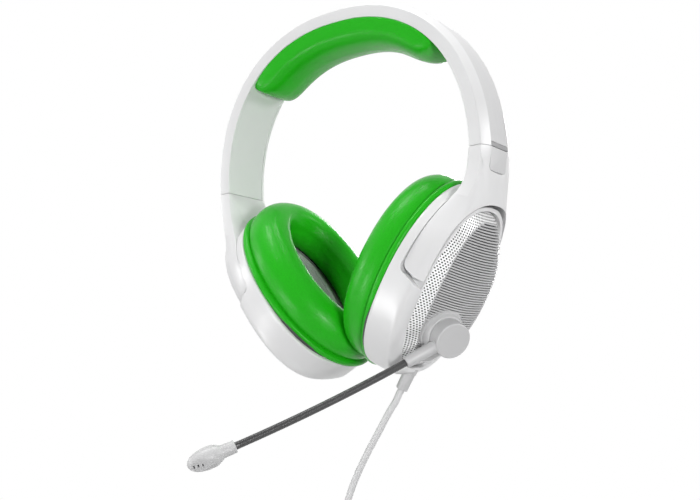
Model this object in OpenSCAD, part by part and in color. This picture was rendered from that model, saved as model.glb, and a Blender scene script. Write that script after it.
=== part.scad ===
// Over-ear gaming headset with a boom microphone on the wearer's left cup.
// Millimetres. The wearer faces -Y, +X is the wearer's left, +Z is up.
// The origin is where the top of the head meets the middle of the head cushion.

/* [Head band] */
// Half the inside width between the arms of the band
band_half_w = 73; // [67:0.5:80]
// Height of the inside of the band above its lower ends
band_h = 78.5; // [72:0.5:88]
// Squareness of the arch, 2 is an ellipse
arch_n = 2.25; // [2.1:0.01:2.4]
// Width of the band, front to back
band_w = 30; // [27:0.5:34]
// Thickness of the band at its front edge
band_t = 6.2; // [5.6:0.1:7.2]
// How far the crown stands out from the front edge
crown_rise = 2.4; // [1.8:0.1:3.2]
// Width of the flat crown between its two slopes
crown_w = 17.2; // [14:0.2:20]
// Wall of the moulded shells of the band
band_wall = 1.7; // [1.4:0.1:2.1]
// Thickness of the strip let into the crown
strip_t = 0.8; // [0.6:0.1:1]
// Length of the bar at each end of the strip
bar_len = 2; // [1.6:0.1:3]
// Thickness of the spring steel band
spring_t = 0.8; // [0.6:0.1:1.1]
// Width of the spring steel band
spring_w = 16; // [12:0.5:20]

/* [Head cushion] */
// Depth of the head cushion at its middle
pad_depth = 13.5; // [10:0.5:16]
// Width of the head cushion
pad_w = 29.4; // [25:0.2:30]
// Angle on the arch where the cushion ends, from the side
pad_end = 42.6; // [38:0.2:48]

/* [Sliders] */
// Lean of the slider rails from upright
rail_lean = 7; // [5:0.5:8]
// Thickness of a slider rail
rail_t = 1.5; // [1.2:0.1:1.8]
// Width of a slider rail
rail_w = 14; // [11:0.5:16]
// Length of rail still held in the band when drawn right out
rail_hold = 10; // [8:0.5:12]
// Length of rail held in the yoke
rail_out = 7; // [6:0.25:8]
// Travel of each slider
slide_travel = 25; // [18:1:25]

/* [Ear cups] */
// Lean of the cups: how far they turn in below
cup_lean = 32.5; // [30:0.5:35]
// Turn of the cups towards the front of the ear
cup_turn = 4.5; // [3:0.5:6]
// Half width of the cup at its rim
cup_ry = 38.6; // [37.6:0.2:40]
// Half height of the cup at its rim
cup_rh = 50.2; // [49:0.2:52]
// Depth of the cup from its rim to the neck
cup_depth = 17.6; // [17:0.2:18.6]
// Wall of the cup
cup_wall = 2.2; // [1.8:0.1:2.5]
// Height of the domed grille over its own edge
grille_rise = 12.2; // [10.6:0.2:13.2]
// Thickness of the grille
grille_t = 1.6; // [1.3:0.1:2]
// Number of slots in the middle of the grille
slot_count = 34; // [28:1:36]
// Share of the slot pitch that is open
slot_open = 0.45; // [0.4:0.01:0.46]

/* [Yokes] */
// Half height of the cup where the yoke arms end
arm_end_h = 4.9; // [3:0.1:7]
// Radius of the rounded corner of an arm end
arm_corner = 4; // [2.5:0.25:5]
// Gap between yoke and cup
yoke_gap = 0.5; // [0.4:0.05:0.8]
// Gap under an arm end, room for the tilt
arm_gap = 1; // [0.9:0.05:1.4]
// Radius of a pivot pin
pin_r = 2.2; // [1.8:0.1:2.6]

/* [Ear cushions] */
// Depth of an ear cushion
cushion_depth = 19.8; // [18:0.2:22]
// Roll of the cushion from its middle line out
cushion_out = 12.1; // [11:0.1:12.5]
// Roll of the cushion from its middle line in to the opening
cushion_in = 8.3; // [7.6:0.1:9.4]

/* [Drivers] */
// Radius of a driver basket
driver_r = 25; // [20:0.5:27]

/* [Microphone] */
// Lean of the microphone pivot towards the front
mic_lean = 31; // [28:1:34]
// Radius of the turning socket
socket_r = 8.8; // [8:0.1:9.6]
// Angle of the boom below straight ahead
boom_drop = 46.5; // [40:0.5:50]
// Radius of the gooseneck
neck_r = 1.75; // [1.5:0.05:2]
// Reach of the boom from its pivot to the end of the microphone
boom_reach = 134; // [125:1:145]
// Radius of the microphone head
mic_r = 5; // [4.5:0.1:5.6]

/* [Lead] */
// Diameter of the lead
lead_d = 3.5; // [3.2:0.1:3.6]
// Number of loops in the stored coil
coil_loops = 8; // [6:2:8]

/* [Hidden] */

white = [0.93, 0.93, 0.93];
grey = [0.78, 0.78, 0.79];
bar_grey = [0.63, 0.63, 0.64];
dark = [0.3, 0.3, 0.31];
green = [0.2, 0.72, 0.15];
steel = [0.62, 0.64, 0.66];
film = [0.85, 0.82, 0.7];
board_green = [0.1, 0.4, 0.2];
plug_gold = [0.83, 0.68, 0.35];

fit_gap = 0.1;       // pieces that seat in each other
arch_gap = 0.15;     // long curved pieces that lie along each other
seam = 0.3;          // visible seam between mouldings
soft_gap = 0.3;      // soft pieces off their neighbours
run_gap = 0.05;      // radial gap of a turning fit

// ---------- general functions ----------

function spow(v, p) = sign(v) * pow(abs(v), p);
function oval(ry, rh, n, t) = [ry * spow(cos(t), 2 / n), rh * spow(sin(t), 2 / n)];
function mix(a, b, t) = a + (b - a) * t;
function smooth(t) = let (c = min(1, max(0, t))) c * c * (3 - 2 * c);
function bezier(p, t) = pow(1 - t, 3) * p[0] + 3 * t * pow(1 - t, 2) * p[1]
    + 3 * t * t * (1 - t) * p[2] + pow(t, 3) * p[3];
function turn_y(p, d) = [p.x * cos(d) + p.z * sin(d), p.y, -p.x * sin(d) + p.z * cos(d)];
function turn_z(p, d) = [p.x * cos(d) - p.y * sin(d), p.x * sin(d) + p.y * cos(d), p.z];

// A closed skin over rings of equal length. Closed rows join the last ring to the first.
module skin(rings, closed = false) {
    n = len(rings);
    m = len(rings[0]);
    side = [for (i = [0 : n - (closed ? 1 : 2)], j = [0 : m - 1])
        let (i2 = (i + 1) % n, j2 = (j + 1) % m)
        each [[i * m + j, i2 * m + j, i2 * m + j2], [i * m + j, i2 * m + j2, i * m + j2]]];
    ends = closed ? [] : [[for (j = [0 : m - 1]) j], [for (j = [m - 1 : -1 : 0]) (n - 1) * m + j]];
    polyhedron(points = [for (r = rings) each r], faces = concat(side, ends));
}

// ---------- places ----------

arch_out_w = band_half_w + band_t;
arch_out_h = band_h + band_t;
crown_r = band_t + crown_rise;
// Lowest point of the head cushion above the lower ends of the band
pad_low_z = band_h - pad_depth;

// Everything is built with Z = 0 at the lower ends of the band, then set on the head.
module on_head() { translate([0, 0, -pad_low_z]) children(); }
module sided(s) { mirror([s < 0 ? 1 : 0, 0, 0]) children(); }

// Middle of the cup rim of the wearer's left cup
cup_mid = [36.5, 2.1, -57.1];
function cup_point(p) = cup_mid + turn_y(turn_z(p, cup_turn), cup_lean);
module in_cup(s) {
    on_head() sided(s) translate(cup_mid) rotate([0, cup_lean, 0]) rotate([0, 0, cup_turn]) children();
}

// ---------- head band ----------

arch_steps = 40;

// Point of the band at angle t along the arch, r out from the inside face
function arch_in(t) = oval(band_half_w, band_h, arch_n, t);
function arch_out(t) = oval(arch_out_w, arch_out_h, arch_n, t);
function arch_dir(t) = let (d = arch_out(t) - arch_in(t)) d / norm(d);
function arch_at(t, r) = arch_in(t) + arch_dir(t) * r;
function arch_line(t0, t1, r, n = arch_steps) = [for (i = [0 : n]) arch_at(mix(t0, t1, i / n), r)];
function reversed(l) = [for (i = [len(l) - 1 : -1 : 0]) l[i]];

// Strip between two radii of the arch, w wide
module arch_strip(t0, t1, r0, r1, w, n = arch_steps) {
    rotate([90, 0, 0]) translate([0, 0, -w / 2]) linear_extrude(w)
        polygon(concat(arch_line(t0, t1, r1, n), reversed(arch_line(t0, t1, r0, n))));
}

strip_recess = strip_t + 0.2;
strip_seat = crown_r - strip_recess + arch_gap;
cover_r = 0.2;       // inside face of the cover, out from the edge of the shell
cover_t = band_wall;
cover_out = cover_r + cover_t;
cover_w = band_w - 2 * band_wall - 2 * fit_gap;
shell_lining = strip_recess + band_wall - 0.3;

// A skin along the arch over a section of [out, across] points
module arch_skin(section, t0, t1, steps = arch_steps) {
    skin([for (i = [0 : steps]) let (t = mix(t0, t1, i / steps))
        [for (q = section) let (p = arch_at(t, q[0])) [p.x, q[1], p.y]]]);
}

// The outer shell is an open channel with sloping shoulders and a recess along its crown
function shell_section(low, side, top, crown_half) = [[low, -side], [band_t - top, -side],
    [crown_r - top, -crown_half], [crown_r - top, crown_half], [band_t - top, side], [low, side]];
past_end = 1.5;      // angle that a cut runs past the ends of the band

module band_shell() {
    color(white) on_head() difference() {
        arch_skin(shell_section(0, band_w / 2, 0, crown_w / 2 + 0.4), 0, 180);
        arch_skin(shell_section(-1, band_w / 2 - band_wall, shell_lining, crown_w / 2 - 1),
            -past_end, 180 + past_end);
        arch_strip(-past_end, 180 + past_end, crown_r - strip_recess, crown_r + 2, crown_w);
    }
}

module inner_cover() {
    color(white) on_head() arch_strip(0, 180, cover_r, cover_out, cover_w);
}

spring_end = 36;     // angle on the arch where the spring steel ends
module spring_band() {
    color(steel) on_head()
        arch_strip(spring_end, 180 - spring_end, cover_out + arch_gap, cover_out + arch_gap + spring_t,
            spring_w, 30);
}

// Angle on the arch that leaves room for a bar of the strip
bar_turn = asin(pow(bar_len / arch_out_h, arch_n / 2));
module crown_strip() {
    color(grey) on_head() arch_strip(bar_turn + 0.1, 180 - bar_turn - 0.1,
        strip_seat, strip_seat + strip_t, crown_w - 2 * fit_gap);
}

module strip_bar(s) {
    color(bar_grey) on_head() sided(s) arch_strip(0, bar_turn,
        strip_seat, strip_seat + strip_t, crown_w - 2 * fit_gap, 2);
}
module strip_bar_left() { strip_bar(1); }
module strip_bar_right() { strip_bar(-1); }

// ---------- head cushion ----------

pad_steps = 26;
// Depth and width of the cushion fade out at its ends
function pad_fade(u) = pow(1 - pow(abs(2 * u - 1), 5), 0.5);
pad_half = [[0, 0], [0, 0.8], [-0.06, 0.96], [-0.2, 1], [-0.45, 0.985], [-0.64, 0.93], [-0.8, 0.78],
    [-0.93, 0.5], [-1, 0]];
function pad_section(d, w) = [for (j = [-8 : 7]) let (q = pad_half[abs(j)])
    [q[0] * d, (j < 0 ? -1 : 1) * q[1] * w / 2]];

module head_cushion() {
    color(green) on_head() skin([for (i = [0 : pad_steps]) let (u = mix(0.004, 0.996, i / pad_steps),
        t = mix(pad_end, 180 - pad_end, u), f = pad_fade(u))
        [for (q = pad_section((pad_depth - soft_gap) * mix(0.12, 1, f), pad_w * mix(0.55, 1, pow(f, 0.6))))
            let (p = arch_at(t, q[0] - soft_gap)) [p.x, q[1], p.y]]]);
}

// ---------- sliders ----------

rail_mid_x = band_half_w + 3.9;      // where the rail leaves the band
module along_rail(s) {
    on_head() sided(s) translate([rail_mid_x, 0, 0]) rotate([0, -rail_lean, 0]) children();
}

guide_h = 9;
guide_turn = 6.5;    // angle on the arch where the guide ends
rail_in = slide_travel + rail_hold;
module slider_rail(s) {
    notch_pitch = 5;
    notch_r = 0.9;
    color(steel) along_rail(s) difference() {
        translate([-rail_t / 2, -rail_w / 2, -rail_out]) cube([rail_t, rail_w, rail_out + rail_in]);
        for (g = [-1, 1], i = [1 : floor((rail_in - 4) / notch_pitch)])
            translate([0, g * rail_w / 2, i * notch_pitch]) rotate([0, 90, 0])
                cylinder(h = rail_t + 1, r = notch_r, center = true, $fn = 24);
    }
}
module slider_rail_left() { slider_rail(1); }
module slider_rail_right() { slider_rail(-1); }

// The block inside the lower end of the band that the rail runs through
module slider_guide(s) {
    color(dark) difference() {
        on_head() sided(s) arch_skin(shell_section(cover_out + arch_gap, band_w / 2 - band_wall - fit_gap,
            shell_lining + arch_gap, crown_w / 2 - 1), 0, guide_turn, 3);
        along_rail(s) translate([-rail_t / 2 - fit_gap, -rail_w / 2 - fit_gap, -5])
            cube([rail_t + 2 * fit_gap, rail_w + 2 * fit_gap, guide_h + 10]);
    }
}
module slider_guide_left() { slider_guide(1); }
module slider_guide_right() { slider_guide(-1); }

// ---------- cup outlines ----------

// Cup rings: [out from the rim plane, half width, half height, squareness, shift up, shift forward]
rim_a = -2;
ledge_a = 3.1;
neck_a = rim_a + cup_depth;
neck_ry = cup_ry - 5.3;
neck_rh = cup_rh - 5.7;
neck_n = 2.44;
neck_up = 1.1;
rim_ring = [rim_a + 0.8, cup_ry, cup_rh, 2, 0, 0];
neck_ring = [neck_a, neck_ry, neck_rh, neck_n, neck_up, 0];
cup_rings = [[rim_a, cup_ry - 0.6, cup_rh - 0.6, 2, 0, 0], rim_ring,
    [ledge_a, cup_ry - 0.5, cup_rh - 0.6, 2.02, 0, 0.5],
    [rim_a + cup_depth * 0.64, cup_ry - 1.5, cup_rh - 1.7, 2.15, 0.3, 1.5],
    [rim_a + cup_depth * 0.88, cup_ry - 3.2, cup_rh - 3.6, 2.62, 0.8, 2.1], neck_ring];
cup_steps = 48;
// The lower end of the rim is shorter than the upper and squarer in front, and fades into the neck
low_square = 0.42;
low_trim = 2.4;
function low_share(a) = min(1, max(0, (neck_a - a) / cup_depth));

function cup_ring(r, grow = 0, steps = cup_steps) = [for (i = [0 : steps - 1]) let (
    t = 360 * i / steps, low = t > 180 ? low_share(r[0]) : 0,
    q = oval(r[1] + grow, r[2] + grow - low_trim * low, r[3] + (cos(t) < 0 ? low_square * low : 0), t))
    [r[0], q[0] - r[5], q[1] + r[4]]];
function cup_outline(r, grow = 0, steps = cup_steps) = [for (p = cup_ring(r, grow, steps)) [p.y, p.z]];

// A flat plate between two depths, outlined by one cup ring. Drawn across Y and Z.
module cup_plate(a0, a1, r, grow = 0, steps = cup_steps) {
    translate([a0, 0, 0]) rotate([90, 0, 90]) linear_extrude(a1 - a0)
        polygon(cup_outline(r, grow, steps));
}

// ---------- yokes ----------

pivot_a = 9.2;      // pivot of the cup tilt, out from the rim plane
pivot_h = arm_end_h + 4.6;
arm_a = ledge_a + yoke_gap;
open_ry = neck_ry + yoke_gap;
open_rh = neck_rh + yoke_gap + 0.4;
open_up = neck_up + 0.8;
crease_a = 10.8;
arm_top = 38;        // angle where an arm leaves the cup and flows into the stem
flow_top = 74;       // angle under the corner of the stem
stem_low = -seam;    // top of the yoke, under the band

// Distance of a station from the arm end, for its rounded corner
function corner_in(s) = s < arm_corner ? arm_corner - sqrt(max(0, 2 * arm_corner * s - s * s)) : 0;

// The four ruling edges of a yoke for side g (-1 front, 1 back)
function ring_point(g, a, ry, rh, n, up, t) =
    let (q = oval(ry, rh, n, t)) cup_point([a, g * q[0], q[1] + up]);
function edge_open(g, t) = ring_point(g, neck_a - 0.3 + 2.4 * smooth((t - 30) / 60), open_ry, open_rh,
    neck_n, open_up, t);
function edge_open_in(g, t) = ring_point(g, neck_a - 1.8, open_ry, open_rh, neck_n, open_up, t);
function edge_under(g, t, c) = ring_point(g, arm_a + c, open_ry, open_rh, neck_n, open_up, t);
function edge_ledge(g, t, c) = ring_point(g, arm_a + c,
    mix(open_ry + 1.2, cup_ry - 0.9, smooth(t / arm_top)), cup_rh - 0.4, 2.02, 0, t);
function edge_inner(g, t, c) = ring_point(g, arm_a + c,
    mix(cup_ry - 1.6, cup_ry - 0.3, smooth(t / arm_top)), cup_rh, 2.02, 0, t);
function edge_crease(g, t, c) = ring_point(g, max(crease_a, arm_a + c + 0.6),
    mix(cup_ry - 2.4, cup_ry - 1.5, smooth(t / arm_top)), cup_rh - 1.6, 2.1, 0.5, t);

stem_y = band_w / 2;
arm_pull = 16;       // pull of the curve along the arm
stem_pull = 20;      // and along the stem
function flow(g, edge, before, x, v) = bezier([edge,
    edge + (edge - before) / norm(edge - before) * arm_pull,
    [x - 0.6, g * stem_y, stem_low - stem_pull],
    [x, g * stem_y, stem_low]], v);
function flow_inner(g, v) =
    flow(g, edge_inner(g, arm_top, 0), edge_inner(g, arm_top - 2, 0), band_half_w, v);
function flow_crease(g, v) =
    flow(g, edge_crease(g, arm_top, 0), edge_crease(g, arm_top - 2, 0), arch_out_w, v);

arm_stations = [0, 0.4, 1.2, 2.5, 4];     // close stations over the rounded arm end
arm_more = 6;
flow_steps = 9;

// One section: opening, two points of the outer face, crease, inner edge, ledge, under, opening inside
function yoke_section(o, crease, inner, ledge, under, o_in, bulge) =
    [o, mix(o, crease, 0.33) + bulge * 0.9, mix(o, crease, 0.7) + bulge, crease, inner, ledge, under, o_in];

function arm_section(g, t, c) = yoke_section(edge_open(g, t), edge_crease(g, t, c), edge_inner(g, t, c),
    edge_ledge(g, t, c), edge_under(g, t, c), edge_open_in(g, t), [0, 0, 0]);
function flow_section(g, v) = let (t = mix(arm_top, flow_top, v)) yoke_section(edge_open(g, t),
    flow_crease(g, v), flow_inner(g, v), edge_ledge(g, t, 0), edge_under(g, t, 0), edge_open_in(g, t),
    [0, 0, 0]);
function top_section(g, k) = let (t = mix(flow_top, 90, k),
    y = [stem_y, crown_w / 2 + 0.4, crown_w / 4, 0][k * 3]) yoke_section(edge_open(g, t),
        [k == 0 ? arch_out_w : arch_out_w + crown_rise, g * y, stem_low], [band_half_w, g * y, stem_low],
        edge_ledge(g, t, 0), edge_under(g, t, 0), edge_open_in(g, t), [-0.8, 0, 0.8] * smooth(k));

function arm_turn(s) = asin(min(1, (arm_end_h + s) / open_rh));
function half_yoke(g) = concat(
    [for (s = arm_stations) arm_section(g, arm_turn(s), corner_in(s))],
    [for (i = [1 : arm_more]) arm_section(g, mix(arm_turn(arm_corner), arm_top, i / arm_more), 0)],
    [for (i = [1 : flow_steps - 1]) flow_section(g, i / flow_steps)],
    [for (k = [0 : 2]) top_section(g, k / 3)]);
yoke_rings = concat(half_yoke(-1), [top_section(-1, 1)], reversed(half_yoke(1)));

module yoke(s) {
    color(white) difference() {
        on_head() sided(s) skin(yoke_rings);
        along_rail(s) translate([-rail_t / 2 - fit_gap, -rail_w / 2 - fit_gap, -rail_out - fit_gap])
            cube([rail_t + 2 * fit_gap, rail_w + 2 * fit_gap, rail_out + 5]);
        in_cup(s) pivot_axis() cylinder(h = 2 * pin_end, r = pin_r, center = true, $fn = 48);
        on_head() sided(s) insert_blank(fit_gap, 1);
    }
}
module yoke_left() { yoke(1); }
module yoke_right() { yoke(-1); }

// Axis of the tilt, across the cup
module pivot_axis() { translate([pivot_a, 0, pivot_h]) rotate([90, 0, 0]) children(); }

// The short strip let into the top of the yoke, in line with the strip of the band
insert_len = 11;
insert_w = crown_w - 0.8;
insert_r = 2;        // radius of its lower corners
insert_lean = 9;     // lean of its face
insert_seat = 14;    // lean of its seat, so that it is thicker below
insert_deep = 2;
module insert_blank(grow, out) {
    half = insert_w / 2;
    above = insert_len + 4;
    translate([arch_out_w + crown_rise - strip_t, 0, stem_low]) difference() {
        rotate([0, insert_lean, 0]) translate([-insert_deep, 0, -insert_len - grow]) rotate([90, 0, 90])
            linear_extrude(insert_deep + strip_t + out) {
                translate([-half - grow, insert_r]) square([insert_w + 2 * grow, above - insert_r]);
                translate([insert_r - half, 0]) square([insert_w - 2 * insert_r, above]);
                for (g = [-1, 1]) translate([g * (half - insert_r), insert_r + grow])
                    circle(r = insert_r + grow, $fn = 32);
            }
        rotate([0, insert_seat, 0]) translate([-insert_deep * 2, -crown_w, -2 * insert_len])
            cube([insert_deep * 2, 2 * crown_w, 4 * insert_len]);
    }
}
module yoke_insert(s) {
    color(grey) on_head() sided(s) difference() {
        insert_blank(0, -0.2);
        translate([0, -crown_w, stem_low]) cube([2 * arch_out_w, 2 * crown_w, 2 * insert_len]);
    }
}
module yoke_insert_left() { yoke_insert(1); }
module yoke_insert_right() { yoke_insert(-1); }

// A pin at each arm end, pressed into a blind hole in the yoke and turning in the cup
pin_len = 8.5;
pin_end = neck_ry + 1.3;
module pivot_pins(s) {
    color(steel) in_cup(s) pivot_axis() for (g = [-1, 1])
        translate([0, 0, g > 0 ? pin_end - pin_len : -pin_end]) cylinder(h = pin_len, r = pin_r, $fn = 48);
}
module pivot_pins_left() { pivot_pins(1); }
module pivot_pins_right() { pivot_pins(-1); }

// ---------- cup housing ----------

carrier_a = rim_a - 1.6;
shelf_a = 1.2;       // seat of the baffle inside the rim
shelf_t = 3;
relief_mid = [12.6, 2.5, 0.6 - neck_rh];    // where the lead leaves the left cup
relief_hole_r = 3.6;
relief_base_r = relief_hole_r + 0.5;
relief_out = 1.2;    // shoulder of the strain relief out from its middle
relief_len = 9.4;

module cup_bore() {
    pivot_axis() cylinder(h = 2 * cup_ry, r = pin_r + run_gap, center = true, $fn = 48);
}

module cup_housing(s) {
    lip_in = neck_a - 1.9;
    color(white) in_cup(s) difference() {
        union() {
            difference() {
                skin([for (r = cup_rings) cup_ring(r)]);
                // room for the yoke: all of the upper half outside the neck
                difference() {
                    fork_room();
                    cup_plate(0, 30, neck_ring);
                }
                // hollow behind the shelf
                skin([for (r = [[shelf_a + shelf_t, cup_ry - 4.6, cup_rh - 4.6, 2, 0, 0],
                    [ledge_a + 2, cup_ry - 5.4, cup_rh - 5.8, 2.2, 0.4, 0],
                    [lip_in, neck_ry, neck_rh, neck_n, neck_up, 0]]) cup_ring(r, -cup_wall)]);
                // opening that the baffle fills, and seat of the baffle
                cup_plate(shelf_a - 1, shelf_a + shelf_t + 1, rim_ring, -8);
                cup_plate(rim_a - 1, shelf_a, rim_ring, -cup_wall - 0.4);
            }
            // bosses for the pivot pins
            for (g = [-1, 1]) pivot_axis() translate([0, 0, g > 0 ? neck_ry - 8 : -neck_ry + 1.2])
                cylinder(h = 6.8, r = pin_r + 2.2, $fn = 48);
        }
        cup_bore();
        // mouth of the neck, down to the back of the grille
        cup_plate(grille_edge_a - grille_t - fit_gap, neck_a + 1, neck_ring, -cup_wall);
        if (s > 0) translate(relief_mid) {
            cylinder(h = 16, r = relief_hole_r, center = true, $fn = 40);
            translate([0, 0, -relief_out - relief_len])
                cylinder(h = relief_len, r = relief_base_r + fit_gap, $fn = 40);
        }
    }
}
module cup_housing_left() { cup_housing(1); }
module cup_housing_right() { cup_housing(-1); }

// Space above the arm ends, with rounded corners under the arms
module fork_room() {
    low = arm_end_h - arm_gap;
    r = arm_corner + 0.2;
    deep = 2 * cup_depth;
    across = 3 * cup_ry;
    high = 2 * cup_rh;
    translate([ledge_a + r, -across / 2, low + r]) cube([deep, across, high]);
    translate([ledge_a, -across / 2, low + r]) cube([r + 1, across, high]);
    translate([ledge_a + r, -across / 2, low]) cube([deep, across, r + 1]);
    translate([ledge_a + r, 0, low + r]) rotate([90, 0, 0])
        cylinder(h = across, r = r, center = true, $fn = 48);
}

// ---------- grille ----------

grille_edge_a = neck_a - 1.7;
grille_ry = neck_ry - cup_wall - fit_gap;
grille_rh = neck_rh - cup_wall - fit_gap;
dome_skew = 3.4;     // how far the top of the dome lies behind its middle
function dome_a(u) = grille_edge_a + grille_rise * (1 - pow(u, 2.9));
function dome_ring(u, in, steps) = [for (p = cup_ring([dome_a(u) - in, (grille_ry - in * 0.5 * u) * u,
    (grille_rh - in * 0.5 * u) * u, neck_n, neck_up, 0], 0, steps)) p + [0, dome_skew * (1 - u * u), 0]];
dome_rows = [0.12, 0.4, 0.6, 0.77, 0.9, 1];
slat_dome_steps = 32;                // fewer sides under the slats, whose edge isn't the neck's

mic_mid = [24, -11, -16.1];          // foot of the microphone boss on the grille
module on_mic() { translate(mic_mid) rotate([0, 90, -mic_lean]) children(); }
boss_r = 10.4;

// The whole domed cover, before it is parted
module dome(steps = cup_steps) {
    skin(concat([for (u = dome_rows) dome_ring(u, 0, steps)],
        [for (u = reversed(dome_rows)) dome_ring(u, grille_t, steps)]));
}

// Outline of the slatted part: it reaches the back edge and leaves a wide border in front
slat_ry = grille_ry * 0.83;
slat_rh = grille_rh * 0.88;
slat_back = grille_ry - slat_ry - 1.6;
module slat_outline(grow) {
    cup_plate(grille_edge_a - 4, neck_a + grille_rise + 4,
        [neck_a, slat_ry, slat_rh, neck_n, neck_up, -slat_back], grow);
}

// Sloping perforated border between the neck and the slats
module grille_rim(s) {
    color(white) in_cup(s) difference() {
        dome();
        slat_outline(0);
        if (s > 0) on_mic() cylinder(h = 40, r = boss_r + fit_gap, center = true, $fn = 48);
    }
}
module grille_rim_left() { grille_rim(1); }
module grille_rim_right() { grille_rim(-1); }

// Half width of the slatted part at height h
function slat_half(h) = let (k = pow(min(1, abs(h) / slat_rh), neck_n)) slat_ry * pow(1 - k, 1 / neck_n);

// Domed slats: rows of slots, with a plain field round the microphone
slat_pitch = 1.9 * slat_rh / slot_count;
slot_margin = 1.6;
slot_least = 3;
module slot(y0, y1, h) {
    translate([grille_edge_a - 4, y0, h - slat_pitch * slot_open / 2])
        cube([grille_rise + 8, y1 - y0, slat_pitch * slot_open]);
}
module grille_slats(s) {
    field = boss_r + 3.5;
    color(grey) in_cup(s) difference() {
        intersection() {
            dome(slat_dome_steps);
            slat_outline(-fit_gap);
        }
        for (i = [0 : slot_count - 1]) let (h = (i - (slot_count - 1) / 2) * slat_pitch,
            half = slat_half(h) - slot_margin, from = slat_back - half, to = slat_back + half,
            up = abs(h + neck_up - mic_mid.z),
            near = s > 0 && up < field ? sqrt(field * field - up * up) : 0) {
            if (near == 0 && half > slot_least) slot(from, to, h + neck_up);
            if (near > 0 && mic_mid.y - near - from > slot_least) slot(from, mic_mid.y - near, h + neck_up);
            if (near > 0 && to - mic_mid.y - near > slot_least) slot(mic_mid.y + near, to, h + neck_up);
        }
        if (s > 0) on_mic() cylinder(h = 40, r = boss_r + fit_gap, center = true, $fn = 48);
    }
}
module grille_slats_left() { grille_slats(1); }
module grille_slats_right() { grille_slats(-1); }

// ---------- baffle, driver and cushion carrier ----------

baffle_t = 2.2;
baffle_a = shelf_a - baffle_t;
plate_out = -cup_wall - 0.4 - fit_gap;
module baffle(s) {
    color(dark) in_cup(s) difference() {
        cup_plate(baffle_a, shelf_a, rim_ring, plate_out);
        translate([baffle_a - 1, 0, 0]) rotate([0, 90, 0])
            cylinder(h = baffle_t + 2, r = driver_r - 1.5, $fn = 64);
        for (t = [35 : 15 : 145], g = [-1, 1]) translate([baffle_a - 1, 0, 0])
            rotate([0, 90, 0]) rotate([0, 0, g * 90 + t - 90]) translate([driver_r + 5, 0, 0])
                cylinder(h = baffle_t + 2, r = 1.2, $fn = 16);
    }
}
module baffle_left() { baffle(1); }
module baffle_right() { baffle(-1); }

module driver_basket(s) {
    color(dark) in_cup(s) translate([shelf_a, 0, 0]) rotate([0, 90, 0]) rotate_extrude($fn = 64)
        polygon([[driver_r, 0], [driver_r, 2.4], [driver_r * 0.72, 3.4], [driver_r * 0.5, 7], [5, 7],
            [5, 5.6], [driver_r * 0.45, 5.6], [driver_r * 0.66, 2], [driver_r - 2, 1.4], [driver_r - 2, 0]]);
}
module driver_basket_left() { driver_basket(1); }
module driver_basket_right() { driver_basket(-1); }

module driver_magnet(s) {
    color(steel) in_cup(s) translate([shelf_a + 7, 0, 0]) rotate([0, 90, 0]) {
        cylinder(h = 3.4, r = driver_r * 0.4, $fn = 64);
        translate([0, 0, -1.6]) cylinder(h = 2, r = 4.9, $fn = 48);
    }
}
module driver_magnet_left() { driver_magnet(1); }
module driver_magnet_right() { driver_magnet(-1); }

module diaphragm(s) {
    color(film) in_cup(s) translate([shelf_a, 0, 0]) rotate([0, 90, 0]) rotate_extrude($fn = 64)
        polygon([[driver_r - 2.1, 0.2], [driver_r - 2.1, 0.9], [driver_r * 0.72, 1.2], [driver_r * 0.4, 1],
            [driver_r * 0.2, 1.9], [0, 2.1], [0, 1.7], [driver_r * 0.2, 1.5], [driver_r * 0.4, 0.6],
            [driver_r * 0.72, 0.8], [driver_r - 4, 0.2]]);
}
module diaphragm_left() { diaphragm(1); }
module diaphragm_right() { diaphragm(-1); }

// Foam pad under cloth over the baffle, inside the cushion
screen_t = 4.5;
screen_a = baffle_a - screen_t;
screen_in = cushion_out + cushion_in + 1.2;  // the pad fills the opening of the cushion
pad_step_a = carrier_a + 0.2;        // the pad is wider below the cushion
carrier_in = 14.5;                   // opening of the carrier, in from the rim
module ear_screen(s) {
    color(dark) in_cup(s) {
        cup_plate(pad_step_a, baffle_a, rim_ring, -carrier_in - 0.5);
        cup_plate(screen_a, pad_step_a, rim_ring, -screen_in);
    }
}
module ear_screen_left() { ear_screen(1); }
module ear_screen_right() { ear_screen(-1); }

// Hard ring that the cushion cover is drawn over, clipped to the rim
module cushion_carrier(s) {
    color(dark) in_cup(s) difference() {
        union() {
            cup_plate(carrier_a, rim_a - 0.2, rim_ring, -1.4);
            cup_plate(rim_a - 0.2, baffle_a, rim_ring, -cup_wall - 0.8);
        }
        cup_plate(carrier_a - 1, baffle_a + 1, rim_ring, -carrier_in);
    }
}
module cushion_carrier_left() { cushion_carrier(1); }
module cushion_carrier_right() { cushion_carrier(-1); }

// ---------- ear cushions ----------

cushion_steps = 48;
cushion_back = carrier_a - fit_gap;
cushion_mid_y = cup_ry - cushion_out - 1.1;
cushion_mid_h = cup_rh - cushion_out - 0.9;
cushion_mid_up = 0.6;
// Depth of the fullest part of the roll above its foot
cushion_full = cushion_depth * 0.34;
// Section of the roll: [towards the head, outwards from the middle line].
// A welt at the foot, a drawn-in seam above it, then the full roll.
cushion_section = concat([[0, cushion_out - 4], [0, cushion_out - 0.3], [0.7, cushion_out + 0.4],
    [1.5, cushion_out], [1.9, cushion_out - 1.2]],
    [for (t = [-14 : 16 : 178]) let (c = cos(t)) [cushion_full + (cushion_depth - cushion_full) * sin(t),
        (c > 0 ? cushion_out : cushion_in) * c]],
    [[cushion_full * 0.6, -cushion_in + 0.2], [1.4, -cushion_in + 1.2], [0, -cushion_in + 2.4]]);

// Where the two cushions meet at rest they press each other flat on the middle plane
function press_flat(p) = [max(p.x, soft_gap / 2 + 0.05), p.y, p.z];

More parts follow.
